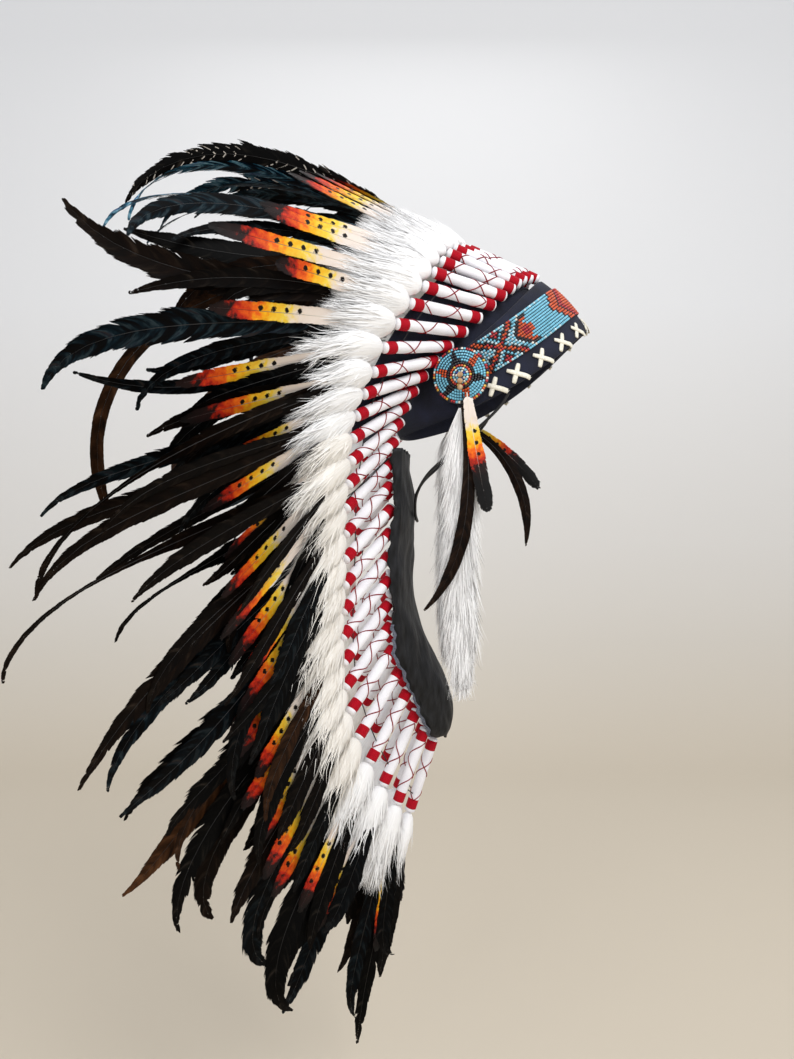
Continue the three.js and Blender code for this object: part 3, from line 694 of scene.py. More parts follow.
def add_quill(felt, thread, unit, side):
    """A white felt sleeve, a red whipping near each end and two threads crossed between."""
    axes = unit_frame(unit, side)
    chance = np.random.default_rng(100 * unit + side + 5)
    whole = QUILL_TIP + QUILL_END
    steps = np.concatenate([[0, 0.15, 0.7, 2.0], np.linspace(4, whole - 4, 20), [0] * 4])
    steps[-4:] = whole - steps[3::-1]
    rim = np.minimum(steps, whole - steps)
    radii = QUILL_RADIUS * (0.02 + 0.98 * np.clip(rim / 2.0, 0, 1) ** 0.4)
    forth = steps - QUILL_END
    for band in (0, RED_TO_RED):
        radii = radii - 0.35 * np.exp(-(((forth - band) / (BAND_HALF + 1.5)) ** 6))
    turn = full_turn(QUILL_SIDES)
    wobble = 0.03 * np.sin(2 * turn[None] + forth[:, None] / 9 + chance.uniform(0, 6))
    uv = paired(forth[:, None] / 10, turn[None])
    felt.add(around(axes, forth, radii, QUILL_SIDES, wobble), uv=uv, ring=True)
    for band in (0, RED_TO_RED):
        shift = chance.uniform(-1, 1)
        spread = np.array([-1, -0.99, -0.9, -0.5, 0, 0.5, 0.9, 0.99, 1]) * BAND_HALF
        rise = np.array([-1.0, 0.1, 0.5, 0.6, 0.6, 0.6, 0.5, 0.1, -1.0])
        uv = paired(spread[:, None] / WRAP_UV, turn[None] / 2)
        rings = around(axes, band + shift + spread, QUILL_RADIUS - 0.3 + rise, QUILL_SIDES)
        thread.add(rings, uv=uv, ring=True)
    share = np.linspace(0, 1, 34)
    lift = QUILL_RADIUS + 0.15
    start = chance.uniform(0, 2 * np.pi)
    for hand in (-1, 1):
        turn = start + hand * share * np.pi * CROSSINGS
        forth = BAND_HALF + share * (RED_TO_RED - 2 * BAND_HALF)
        line = from_unit(axes, forth, lift * np.cos(turn), lift * np.sin(turn))
        outward = unit_length(line - from_unit(axes, forth, 0, 0))
        thread.add(tube(line, THREAD_RADIUS, 4, up=outward), uv=(0.05, 0.3), ring=True)


# Two black ties cross the wide gap after this unit.
TIED_UNIT = 15


def build_quills():
    """Sleeves and wraps by stretch, with the thread through them and the black ties."""
    for name, units in stretches(QUILL_SPANS):
        felt, thread = Pile(), Pile()
        for unit, side in units:
            add_quill(felt, thread, unit, side)
        for before, after in zip(units, units[1:]):
            ends = [
                from_unit(unit_frame(*spot), RED_TO_RED * JOINED_AT, 0, 0)
                for spot in (before, after)
            ]
            felt.add(tube(np.linspace(*ends, 6), THREAD_RADIUS, 5), slot=1, ring=True)
        for side in {side for unit, side in units if unit == TIED_UNIT}:
            axes = unit_frame(TIED_UNIT + 0.5, side)
            for wide, sag in ((-1.5, 3.0), (1.5, -2.0)):
                share = np.linspace(0, 1, 12)
                bow = wide + sag * np.sin(share * np.pi)
                line = from_unit(axes, share * QUILL_TIP, bow, 2.0)
                felt.add(tube(line, 0.55, 5), slot=1, ring=True)
        node = f"quills_{name}"
        felt.make(f"felt_sleeves_{name}", [WHITE_FELT, CORD_BRAID], "sleeve_felt", [node])
        thread.make(f"red_wraps_{name}", [RED_THREAD], "sleeve_felt", [node])


build_quills()


# ---------------------------------------------------------------------------------------------
# Feathers
# ---------------------------------------------------------------------------------------------

FEATHER_ROOT = 12.0
FEATHER_SPACE = 2.5
# The dots lie this far to one side of a painted feather's shaft, and this far apart.
DOTS_ASIDE = 2.2
DOTS_APART = 12.5
GOOSE_WIDE = 15.5
SHAFT_END = 0.97
# The long feathers of the first units are barred.
BARRED_UNITS = 2
# From this unit on, a narrow black feather lies over the painted one's edge.
OVER_FROM = 9
LONGEST_SHORT = 320
PLUMES = (
    # coque, turn, bend, hook, lift, droop, wide, dyed, lean
    (410, 0, 0, 0, 5, -75, 24, 170, 0),
    (350, 0, 0, 0, -2, -60, 22, 155, 5),
    (345, 5, 5, 20, 3, -45, 24, 160, 5),
    (335, 5, 5, 20, -4, -30, 22, 160, 0),
    (310, 5, 10, 40, 2, -10, 28, 175, 10),
    (275, 10, 15, -40, -4, 0, 26, 160, 0),
    (430, 0, 60, 85, -16, 0, 13, 200, 0),
    (305, 5, 0, -30, -3, 0, 28, 130, -5),
    (320, 5, 0, 20, 2, 0, 28, 175, 0),
    (270, 15, 5, -55, -5, 0, 15, 195, 5),
    (360, 5, -5, 50, 9, 0, 20, 190, 0),
    (295, 5, 0, -10, -4, 0, 20, 160, 5),
    (330, 0, -15, 20, 5, 0, 22, 170, 5),
    (310, 0, -20, 40, -16, 0, 22, 160, 10),
    (360, -10, -10, 20, -3, 0, 18, 175, 5),
    (250, -5, 0, 0, -12, 0, 20, 185, 5),
    (330, -10, 15, 5, 2, 0, 24, 180, 5),
    (300, -5, 0, 20, -4, 0, 22, 165, 5),
    (290, 5, 0, -30, 3, 0, 24, 170, 5),
    (270, 5, 0, -25, -10, 0, 22, 165, 0),
    (240, 5, 5, -45, 0, 0, 24, 165, 0),
    (275, 0, 0, 15, -4, 0, 26, 140, 5),
    (265, -5, 5, 30, 0, 0, 26, 150, 0),
    (250, 0, -5, 70, -11, 0, 28, 150, 5),
    (200, 0, 5, 5, 2, 0, 26, 155, 5),
    (240, 5, -20, 90, -5, 0, 30, 150, 0),
    (250, 0, -10, 60, 3, 0, 28, 140, 0),
    (235, 5, -5, 20, -4, 0, 22, 140, -5),
    (230, 10, -10, 10, 3, 0, 18, 150, 15),
    (260, 0, 0, 0, 4, 10, 18, 150, 0),
)


def feather_path(root, axes, length, turn, bend=0.0, hook=0.0, lift=0.0, droop=0.0, curl=0.0,
                 roll=0.0):
    """A feather's line: points with the ways ahead, across the vane and off its face. curl
    turns its last quarter aside, and roll twists it about its shaft."""
    share = np.linspace(0, 1, 49)
    swing = np.radians(turn + bend * share + hook * share**3 + curl * share**9)[:, None]
    raised = np.radians(lift + droop * share**3)[:, None]
    flat = axes["forth"] * np.cos(swing) + axes["along"] * np.sin(swing)
    ahead = flat * np.cos(raised) + axes["out"] * np.sin(raised)
    steps = ahead[:-1] * length / (len(share) - 1)
    points = root + np.concatenate([np.zeros((1, 3)), np.cumsum(steps, axis=0)])
    across = unit_length(np.cross(axes["out"], ahead))
    facing = unit_length(np.cross(ahead, across))
    twist = np.radians(roll * smooth(share / 0.45))[:, None]
    across, facing = (
        across * np.cos(twist) + facing * np.sin(twist),
        facing * np.cos(twist) - across * np.sin(twist),
    )
    return {
        "share": share, "point": points, "ahead": ahead, "across": across, "facing": facing,
        "length": length,
    }


def on_path(path, share):
    """Point, ahead, across and facing at shares of a path; past its end it runs straight on."""
    inside = np.clip(share, 0, 1)
    found = []
    for key in ("point", "ahead", "across", "facing"):
        columns = [np.interp(inside, path["share"], path[key][:, i]) for i in range(3)]
        found.append(np.stack(columns, -1))
    found[0] = found[0] + found[1] * ((share - inside) * path["length"])[..., None]
    return found


def add_vane(pile, path, wide, profile, seed, start=0.0, pitch=1.6, barb=2.5, sweep=1.8,
             fray=0.06, clump=12.0, pull=0.12, splits=0.0, tone=0.0, dots=None, shift=0.0, slot=0):
    """Barbs down both sides of a shaft: overlapping ribbons that sweep toward the tip and
    cling in clumps. splits is how far they part at the few places where the vane has opened."""
    chance = np.random.default_rng(seed)
    length = path["length"]
    count = int(length * (1 - start) / pitch)
    across_steps = np.array([0.0, 0.35, 0.72, 1.0])
    taper = np.array([1.0, 1.0, 0.8, 0.12])
    for hand in (-1, 1):
        root = start + (1 - start) * (np.arange(count) + chance.uniform(0, 0.6, count)) / count
        place = root * length
        shape = np.interp(root, profile[0], profile[1])
        half = wide / 2 * shape * (1 + 1.2 * fray * waves(place, seed + 7 * hand, 45))
        half = half * chance.uniform(1 - fray, 1 + fray / 3, count)
        group = np.floor(place / clump + 0.35 * waves(place, seed + hand, 40))
        centre = (group + 0.6) * clump
        lean = (centre - place) * pull * chance.uniform(0.6, 1.1, count)
        for gap in chance.uniform(0.25, 1.0, 3) * length:
            off = place - gap
            lean = lean + splits * np.sign(off) * np.exp(-np.abs(off) / 6)
        lateral = half[:, None] * (1 - (1 - across_steps) ** 1.4)
        forward = half[:, None] * sweep * across_steps**1.3
        forward = forward + lean[:, None] * across_steps**2
        share = root[:, None] + forward / length
        point, _, across, facing = on_path(path, share)
        cupped = -0.4 * lateral**1.3 / max(wide, 1)
        level = 0.35 * waves(place, seed + 3, 17)[:, None] * across_steps
        line = point + across * (hand * lateral)[..., None]
        line = line + facing * (cupped + level)[..., None]
        heading = unit_length(np.gradient(line, axis=1))
        beside = np.cross(facing, heading) * hand
        breadth = (barb * taper)[None, :, None] / 2
        tilt = facing * 0.18
        left = line + beside * breadth + tilt
        right = line - beside * breadth - tilt
        ribbons = np.stack([left, right], axis=2)
        if dots:
            first, gap = dots
            uv = paired((share * length - first) / gap, (hand * lateral + DOTS_ASIDE) / gap)
            shade = share + shift
        else:
            uv = paired(root[:, None], 0.5 + hand * lateral / wide)
            shade = np.broadcast_to(
                tone * (0.75 + 0.25 * waves(place, seed, 30))[:, None], share.shape
            )
        uv = np.repeat(uv[:, :, None], 2, axis=2)
        pile.add(ribbons, uv=uv, tone=np.repeat(shade[..., None], 2, axis=2), slot=slot)


def add_shaft(pile, path, thick, slot):
    """A feather's shaft, which thins toward its tip and stops a little short of it."""
    share = np.linspace(0, SHAFT_END, 17)
    point, _, across, facing = on_path(path, share)
    rings = rings_round(point, across, facing, thick / 2 * (1 - 0.85 * share), 4, 0.8)
    uv = np.broadcast_to(paired(share, share)[:, None], rings.shape[:2] + (2,))
    pile.add(rings, uv=uv, ring=True, slot=slot)


# Breadth of a feather along its length, as places and shares of its full breadth.
COQUE_PROFILE = ((0, 0.2, 0.4, 0.58, 0.78, 0.92, 1.0), (0.35, 0.6, 0.9, 1.0, 0.72, 0.32, 0.05))
WHIP_PROFILE = ((0, 0.2, 0.45, 0.6, 0.75, 0.93, 1.0), (0.5, 0.85, 0.9, 0.35, 0.12, 0.25, 0.06))
LOOP_PROFILE = ((0, 0.1, 0.5, 0.9, 1.0), (0.6, 0.9, 1.0, 0.9, 0.5))
GOOSE_PROFILE = ((0, 0.2, 0.45, 0.8, 0.92, 1.0), (0.5, 0.8, 1.0, 1.0, 0.75, 0.2))
WHIP_UNITS = (10, 14, 15)
FRAYED_UNITS = (0, 1, 19, 20)
LOOP_UNIT = 6
# Degrees by which the top and bottom long feathers are twisted, so that they face sideways.
ROLLS = {0: 70, 1: 60, 2: 45, 3: 25, 26: 25, 27: 40, 28: 60, 29: 75}
# Tone of a unit's long feather: above 0 painted blue gloss, below 0 brown. The rest take a little
# of either.
GLOSS = {
    1: 0.25, 2: 1.0, 3: 0.7, 4: 0.06, 6: -0.4, 8: 0.06, 11: 0.05, 17: 0.04, 18: 0.02, 21: -0.8,
}


def left_varied(unit, side, length, turn):
    """The left side's feathers differ a little from the right's."""
    if side < 0:
        return length, turn
    return length * (1 + 0.06 * np.sin(2.4 * unit)), turn + 2 * np.sin(1.7 * unit + 1)


def add_unit_feathers(black, painted, unit, side):
    """One quill's long black feather, the short ones round it and its painted one."""
    axes = unit_frame(unit, side)
    coque, turn, bend, hook, lift, droop, wide, dyed, lean = PLUMES[unit]
    seed = 1000 + 10 * unit + (5 if side > 0 else 0)
    chance = np.random.default_rng(seed)
    length, turn = left_varied(unit, side, coque, turn)
    root = from_unit(axes, QUILL_TIP + FEATHER_ROOT, 0, -FEATHER_SPACE)
    if unit < 3:
        droop -= 25
    curl = chance.choice([40, 65, 90]) if unit < 5 else chance.choice([-30, 15, 35, 60, 80])
    roll = -ROLLS.get(unit, 0) * (side or 1)
    main = feather_path(root, axes, length, turn, bend, hook, lift, droop, curl, roll)
    gloss = GLOSS.get(unit, chance.choice([-0.06, 0.0, 0.02]))
    ragged = unit in FRAYED_UNITS
    style = dict(
        fray=0.2 if ragged else chance.uniform(0.04, 0.1),
        clump=8.0 if ragged else 12.0,
        pull=0.5 if ragged else 0.15,
        splits=chance.choice([1.0, 3.0, 5.0]),
    )
    profile = COQUE_PROFILE
    if unit in WHIP_UNITS:
        profile = WHIP_PROFILE
    if unit == LOOP_UNIT:
        profile, style = LOOP_PROFILE, dict(fray=0.03, splits=0.0)
    slot = 2 if unit < BARRED_UNITS else 0
    add_vane(black, main, wide, profile, seed, start=0.12, tone=gloss, slot=slot, **style)
    add_shaft(black, main, 1.4, 1)
    # Shorter feathers lie under the long one, and a narrow one over the painted feather's edge.
    under = [(-3.5, chance.uniform(0.68, 0.9), 9), (-5.5, chance.uniform(0.45, 0.7), 12)]
    over = [(5.5, chance.uniform(0.5, 0.72), 5)]
    for out, share, spread in under + (over if unit >= OVER_FROM else []):
        swing = turn + chance.uniform(-spread, spread)
        rise = lift * 0.6 + chance.uniform(-4, 3)
        if out > 0:
            swing, rise = lean + chance.uniform(2, 8), chance.uniform(3, 6)
        other = feather_path(
            root + axes["out"] * (out + FEATHER_SPACE),
            axes,
            min(length, LONGEST_SHORT) * share,
            swing,
            chance.uniform(-6, 12) + (0 if out > 0 else bend * 0.4),
            chance.uniform(-10, 35),
            rise,
            droop * 0.7,
            chance.uniform(-50, 60),
            roll * 0.8,
        )
        add_vane(
            black, other, chance.uniform(16, 23), COQUE_PROFILE, seed + int(10 * share),
            start=0.18, pitch=2.1, barb=3.1, tone=gloss * 0.4, fray=0.08,
            splits=chance.choice([1.0, 3.0]),
        )
        add_shaft(black, other, 1.2, 1)
    root = from_unit(axes, QUILL_TIP + FEATHER_ROOT, 0, FEATHER_SPACE)
    goose = feather_path(root, axes, dyed, lean, 2, 0, 3, 0)
    add_vane(
        painted, goose, GOOSE_WIDE, GOOSE_PROFILE, seed + 2, start=0.2, sweep=1.1, fray=0.06,
        pull=0.2, splits=chance.choice([0.0, 1.5]),
        dots=(dyed * chance.uniform(0.5, 0.56), DOTS_APART), shift=chance.uniform(-0.06, 0.03),
    )
    add_shaft(painted, goose, 1.1, 1)


def build_plume_feathers():
    """The feathers of each stretch, black and painted apart."""
    for name, units in stretches(PLUME_SPANS):
        black, painted = Pile(), Pile()
        for unit, side in units:
            add_unit_feathers(black, painted, unit, side)
        node = f"plumes_{name}"
        used = [BLACK_VANE, BLACK_SHAFT]
        if units[0][0] < BARRED_UNITS:
            used.append(BARRED_VANE)
        black.make(f"black_feathers_{name}", used, "black_feather", [node])
        painted.make(
            f"painted_feathers_{name}", [PAINTED_VANE, PALE_SHAFT], "painted_feather", [node]
        )


build_plume_feathers()


# ---------------------------------------------------------------------------------------------
# Fur
# ---------------------------------------------------------------------------------------------

TUFT_LENGTH = 96.0
TUFT_WIDE = 45.0
TUFT_DEEP = 26.0
TUFT_HAIRS = 800
# The fur's core: how far down the tuft, and its breadth there as a share of the tuft's.
CORE_AT = (0, 0.015, 0.06, 0.14, 0.26, 0.4, 0.54, 0.66, 0.73)
CORE_BREADTH = (0.04, 0.3, 0.52, 0.7, 0.86, 0.88, 0.74, 0.42, 0.05)
# From this unit on the tufts run together. Between the next two the fur is creamy.
MERGED_FROM = 9
CREAM_FROM = 11
CREAM_TO = 24


def add_tuft(pile, unit, side):
    """A white fur tuft: a soft full core, with hairs that lie along it and flare at their tips."""
    axes = unit_frame(unit, side)
    chance = np.random.default_rng(5000 + 10 * unit + side)
    hairs = TUFT_HAIRS
    length = TUFT_LENGTH * (0.9 + 0.1 * np.sin(2.3 * unit))
    share = np.array(CORE_AT)
    turn = full_turn(12)
    lumps = 1 + 0.05 * np.sin(3 * turn + unit) * np.sin(share * 9)[:, None]
    swell = np.array(CORE_BREADTH)[:, None] * lumps * 0.9
    forth = np.broadcast_to((QUILL_TIP + 0.5 + share * length)[:, None], swell.shape)
    points = from_unit(
        axes, forth, swell * TUFT_WIDE / 2 * np.cos(turn), swell * TUFT_DEEP / 2 * np.sin(turn)
    )
    pile.add(points, uv=paired(share[:, None], turn[None] * 2), ring=True)
    begin = 0.62 * chance.uniform(0, 1, hairs) ** 0.8
    end = np.minimum(begin + chance.uniform(0.28, 0.5, hairs), 1.02)
    end = np.where(chance.uniform(0, 1, hairs) < 0.35, chance.uniform(0.8, 1.02, hairs), end)
    turn = chance.uniform(0, 2 * np.pi, hairs)
    locks = np.round(turn / (2 * np.pi) * 11) / 11 * 2 * np.pi + chance.normal(0, 0.1, hairs)
    steps = np.array([0, 0.35, 0.7, 1.0])
    way = begin[:, None] + (end - begin)[:, None] * steps
    turned = turn[:, None] + (locks - turn)[:, None] * 0.55 * steps**1.5
    inner = np.interp(way, CORE_AT, CORE_BREADTH) * 0.86
    outer = np.interp(way, (0, 0.3, 0.5, 0.7, 0.85, 1.0), (0.3, 0.92, 1.0, 0.97, 0.85, 0.6))
    flare = chance.uniform(0.35, 1.05, hairs)[:, None]
    reach = inner + (np.maximum(outer * flare, inner) - inner) * steps**0.8
    merged = unit >= MERGED_FROM
    stray = chance.normal(0, 4.0 if merged else 2.2, (2, hairs, 1)) * steps**2
    if merged:
        stray[0] += chance.uniform(0, 16, (hairs, 1)) * steps**1.5
    wide = reach * TUFT_WIDE / 2 * np.cos(turned) + stray[0]
    deep = reach * TUFT_DEEP / 2 * np.sin(turned) + stray[1]
    line = from_unit(axes, QUILL_TIP + 0.5 + way * length, wide, deep)
    heading = unit_length(np.gradient(line, axis=1))
    radial = axes["along"] * np.cos(turned)[..., None] + axes["out"] * np.sin(turned)[..., None]
    radial = radial + chance.normal(0, 0.25, (hairs, 1, 3))
    beside = unit_length(np.cross(heading, radial))
    thick = np.array([1.0, 1.0, 0.7, 0.1])[:, None] / 2
    share_dark = 0.08 if unit < CREAM_FROM else 0.4 if unit < CREAM_TO else 0.12
    dark = (chance.uniform(0, 1, hairs) < share_dark) * (end > 0.72)
    tone = dark * chance.uniform(0.35, 0.9, hairs)
    add_hairs(pile, line, beside, thick, paired(steps[None], turn[:, None] * 2), tone)


def build_tufts():
    """The fur of each stretch."""
    for name, units in stretches(PLUME_SPANS):
        pile = Pile()
        for unit, side in units:
            add_tuft(pile, unit, side)
        fur = CREAM_FUR if CREAM_FROM <= units[0][0] < CREAM_TO else WHITE_FUR
        pile.make(f"fur_tufts_{name}", [fur], "white_fur", [f"plumes_{name}"])


build_tufts()


# ---------------------------------------------------------------------------------------------
# Head opening, cap and band
# ---------------------------------------------------------------------------------------------

GAP = 0.3
HEM_DEPTH = 243.0
HEM_WIDTH = 168.0
HEM_SLOPE = np.radians(29.8)
HEM_DIP = 18.0
BAND_DOME = 144.0
NOSE = 1.7
HEM = (0, 0)
BAND_TOP = (73, 54.6)
BAND_TURN = np.radians(116)
BAND_THICK = 2.5
STRIP_THICK = 2.5
STRIP_LOW = (21, 19)
STRIP_HIGH = (57.5, 51)
STRIP_TURN = BAND_TURN * 18 / 20
CAP_CROWN = 109.0
CAP_SHARE = 0.955
CAP_WALL_SHARE = 0.025

ALONG_HEM = np.array([0, np.cos(HEM_SLOPE), -np.sin(HEM_SLOPE)])
CROWN = np.array([0, np.sin(HEM_SLOPE), np.cos(HEM_SLOPE)])


def in_hem(x, along, rise):
    """A point from its places beside, along and above the sloping hem."""
    x, along, rise = np.broadcast_arrays(x, along, rise)
    beside = np.stack([x, np.zeros_like(x, float), np.zeros_like(x, float)], -1)
    return beside + ALONG_HEM * along[..., None] + CROWN * rise[..., None]


def oval(turn):
    """x and along of the oval at a turn from the brow; the front is drawn to a nose."""
    turn = np.asarray(turn, float)
    front = np.clip(np.cos(turn), 0, None)
    full = (front**NOSE + np.abs(np.sin(turn)) ** NOSE) ** (1 / NOSE)
    full = np.where(front > 0, full, 1.0)
    return np.sin(turn) / full * HEM_WIDTH / 2, -np.cos(turn) / full * HEM_DEPTH / 2


def dome_normal(turn, rise):
    """The way out of the dome at a turn from the brow and a rise above the hem."""
    turn, rise = np.broadcast_arrays(np.asarray(turn, float), np.asarray(rise, float))
    share = np.sqrt(1 - (rise / BAND_DOME) ** 2)
    before, after = oval(turn - 0.01), oval(turn + 0.01)
    flat = np.stack([after[1] - before[1], before[0] - after[0]], -1)
    flat = unit_length(flat)
    steep = rise * HEM_WIDTH / 2 / BAND_DOME**2
    return unit_length(in_hem(flat[..., 0] * share, flat[..., 1] * share, steep))


def dome_point(turn, rise, off=0.0):
    """A point on the dome that the band follows, or off it by a distance."""
    turn, rise = np.broadcast_arrays(np.asarray(turn, float), np.asarray(rise, float))
    share = np.sqrt(1 - (rise / BAND_DOME) ** 2)
    x, along = oval(turn)
    drop = HEM_DIP * np.sin(turn) ** 2 * (1 - rise / BAND_DOME)
    off = np.broadcast_to(off, turn.shape)[..., None]
    return in_hem(x * share, along * share, rise - drop) + dome_normal(turn, rise) * off


def brow_to_ear(sizes, turn):
    """A size that passes from its value at the brow to that at the ear."""
    return sizes[0] + (sizes[1] - sizes[0]) * (1 - np.cos(turn))


def dome_wall(pile, turn_end, low, high, inner, outer, steps, slot=0):
    """A felt wall that follows the dome, closed all round, with rounded edges."""
    turn = np.linspace(-turn_end, turn_end, steps)
    turn = np.concatenate([[turn[0]], turn, [turn[-1]]])
    middle = (inner + outer) / 2
    climb = np.linspace(0.02, 0.98, 12)
    rise = np.concatenate([climb, [1.0], climb[::-1], [0.0]])
    off = np.concatenate([[outer] * 12, [middle], [inner] * 12, [middle]])
    off = np.broadcast_to(off, (len(turn), len(off))).copy()
    off[[0, -1]] = middle
    span_low = brow_to_ear(low, turn)[:, None]
    span_high = brow_to_ear(high, turn)[:, None]
    heights = span_low + (span_high - span_low) * rise
    pile.add(dome_point(turn[:, None], heights, off), ring=True, slot=slot)


def build_cap():
    """The felt cap: a soft domed wall with slight puckers where it is gathered."""
    pile = Pile()
    angle = np.linspace(0.001, np.pi / 2, 22)
    turn = full_turn(72)
    scale = np.repeat([1.0, 1 - CAP_WALL_SHARE], len(angle))
    angle = np.concatenate([angle, angle[::-1]])
    radius = np.sin(angle) * scale
    height = np.cos(angle) * scale
    pucker = 1 - 0.008 * (1 + np.sin(9 * turn)) * (np.sin(angle) ** 4)[:, None]
    radius = radius[:, None] * CAP_SHARE * pucker
    x, along = oval(turn)
    drop = HEM_DIP * np.sin(turn) ** 2 * (1 - height[:, None])
    pile.add(in_hem(x * radius, along * radius, height[:, None] * CAP_CROWN - drop), ring=True)
    pile.make("felt_cap", [NAVY_FELT], "navy_felt", ["cap"])


def build_headband():
    """The navy felt band round the brow and sides."""
    pile = Pile()
    dome_wall(pile, BAND_TURN, HEM, BAND_TOP, -BAND_THICK, 0, 150)
    pile.make("felt_headband", [NAVY_FELT], "navy_felt", ["headband"])


FLANGE_REACH = 66.0
FLANGE_LAST = 13.4
FLANGE_BELOW = 2.4
FLANGE_LOW = 6.0
FLANGE_THICK = 1.6


def onto_cap(point):
    """A point raised to just above the hem and, if outside the cap, drawn in to its side."""
    rise = max(point @ CROWN, FLANGE_LOW)
    along = point @ ALONG_HEM
    share = np.sqrt(1 - (rise / CAP_CROWN) ** 2)
    edge = oval(np.arctan2(point[0] / HEM_WIDTH, -along / HEM_DEPTH))
    reach = np.hypot(point[0], along)
    pull = min(1, (np.hypot(*edge) * share * CAP_SHARE + FLANGE_THICK) / reach)
    return in_hem(point[0] * pull, along * pull, rise)


def build_flange():
    """The felt flange under the quills of the fan."""
    columns = 7
    rows = []
    for unit in np.linspace(-FLANGE_LAST, FLANGE_LAST, 97):
        axes = unit_frame(abs(unit), 1 if unit > 0 else -1)
        ring = []
        for depth in (0, FLANGE_THICK):
            low = -QUILL_RADIUS - FLANGE_BELOW - depth
            inner = onto_cap(from_unit(axes, -QUILL_END, 0, low))
            outer = from_unit(axes, FLANGE_REACH, 0, low)
            line = [inner + (outer - inner) * share for share in np.linspace(0, 1, columns)]
            ring.extend(line if depth == 0 else line[::-1])
        rows.append(ring)
    rows = np.array(rows)
    pile = Pile()
    pile.add(closed_ends(rows), ring=True)
    flange = pile.make("felt_flange", [NAVY_FELT], "navy_felt", ["fan_flange"])
    hang(flange)


build_cap()
build_headband()
build_flange()


# ---------------------------------------------------------------------------------------------
# Beadwork
# ---------------------------------------------------------------------------------------------

BEAD_COLOURS = {
    "pale": "#c6e2ea",
    "sky": "#79c4de",
    "white": "#ece8dd",
    "black": "#15141a",
    "orange": "#d2521f",
    "red": "#b3242a",
    "yellow": "#e3b23c",
    "blue": "#27429a",
}
BEAD_PITCH = 2.8
STRIP_ROWS = 13


def bead_grids(centres, holes, lefts, size):
    """Seed beads with their holes along one way: beads x rows x sides x 3."""
    turn = full_turn(6)
    ring = np.array([(-0.40, 0.30), (-0.34, 0.47), (0, 0.54), (0.34, 0.47), (0.40, 0.30)]) * size
    outs = np.cross(holes, lefts)
    around_hole = (
        lefts[:, None, None] * np.cos(turn)[None, None, :, None]
        + outs[:, None, None] * np.sin(turn)[None, None, :, None]
    )
    along_hole = holes[:, None, None] * ring[:, 0][None, :, None, None]
    return centres[:, None, None] + along_hole + around_hole * ring[:, 1][None, :, None, None]


def make_beads(name, centres, holes, lefts, size, colours, slot, replaced, backing):
    """One mesh of seed beads on a backing, each bead in its own colour."""
    grids = bead_grids(centres, holes, lefts, size)
    pile = Pile()
    pile.add(grids)
    beads = pile.count
    backing(pile)
    tints = np.ones((pile.count, 4))
    chance = np.random.default_rng(11)
    tone = np.array([linear(BEAD_COLOURS[colour]) for colour in colours])
    tone[:, :3] *= chance.uniform(0.85, 1.12, (len(tone), 1))
    tints[:beads] = np.repeat(np.clip(tone, 0, 1), beads // len(tone), axis=0)
    return pile.make(name, [BEAD_GLASS, NAVY_FELT], slot, replaced, tints=tints)


def strip_colour(column, row):
    """The strip's pattern: column counts beads from the brow's middle, row from the top."""
    level = abs(row - 6)
    # A stepped orange and red figure over the brow, with black at its steps.
    if column <= 23:
        edge = 22 - abs(row - 5) // 2 * 2
        if column > edge:
            return "sky"
        if column == edge:
            return "black"
        chevron = (column + level) % 11
        return "orange" if chevron in (0, 1, 2, 7, 8, 9, 10) else "black" if chevron == 6 else "red"
    # An arrowhead that points toward the ear, its other side stepped in three points.
    if 34 <= column <= 43:
        reach = 43 - column
        notch = 35 + (0, 0, 2, 3, 1, 0, 0)[level]
        if column < notch:
            return "sky"
        if level < min(reach, 5):
            return "red" if level < 2 and 37 <= column <= 39 else "orange"
        if level == reach and level <= 5 or level == 5 and reach > 5:
            return "black"
        if level == reach + 1:
            return "black" if column > 39 else "white"
        if column < 42:
            return "sky"
    # A cross with black edges and a small red lozenge above and below its middle.
    if column >= 42:
        reach = abs(column - 50.5) * 0.72
        off = abs(level - reach)
        if off < 0.75:
            return "orange" if (column + row) % 3 else "red"
        if off < 1.5:
            return "black"
        lozenge = abs(column - 50) + abs(level - 5)
        if lozenge <= 1:
            return "red"
        if lozenge == 2 and level < 6:
            return "black"
        if column > 55 and (column * 7 + row * 5) % 9 == 0:
            return "black"
        return "pale" if (column + row) % 2 else "sky"
    if row in (0, 12):
        return "pale" if column % 3 == 0 else "sky"
    return "sky"


def strip_run():
    """Turns from the brow's middle to the strip's end, and how far along its middle each is."""
    fine = np.linspace(0, STRIP_TURN, 2000)
    middle = (brow_to_ear(STRIP_LOW, fine) + brow_to_ear(STRIP_HIGH, fine)) / 2
    return fine, run_along(dome_point(fine, middle))


def build_strip():
    """Loomed strip: rows of seed beads on dark thread over a felt backing."""
    fine, lengths = strip_run()
    columns = int((lengths[-1] - 1.2) / BEAD_PITCH)
    turns, rises, colours = [], [], []
    for column in range(-columns, columns + 1):
        turn = np.sign(column) * np.interp(abs(column) * BEAD_PITCH, lengths, fine)
        low, high = brow_to_ear(STRIP_LOW, turn), brow_to_ear(STRIP_HIGH, turn)
        for row in range(STRIP_ROWS):
            turns.append(turn)
            rises.append(high - (row + 0.5) / STRIP_ROWS * (high - low))
            colours.append(strip_colour(abs(column), row))
    turns, rises = np.array(turns), np.array(rises)
    centres = dome_point(turns, rises, 1.7)
    up = unit_length(dome_point(turns, rises + 0.5) - dome_point(turns, rises - 0.5))
    normal = dome_normal(turns, rises)
    left = unit_length(np.cross(up, normal))

    def backing(pile):
        dome_wall(pile, STRIP_TURN, STRIP_LOW, STRIP_HIGH, GAP, 1.2, 120, slot=1)

    make_beads(
        "beadwork_strip", centres, up, left, BEAD_PITCH, colours, "seed_beads",
        ["beaded_strip"], backing,
    )


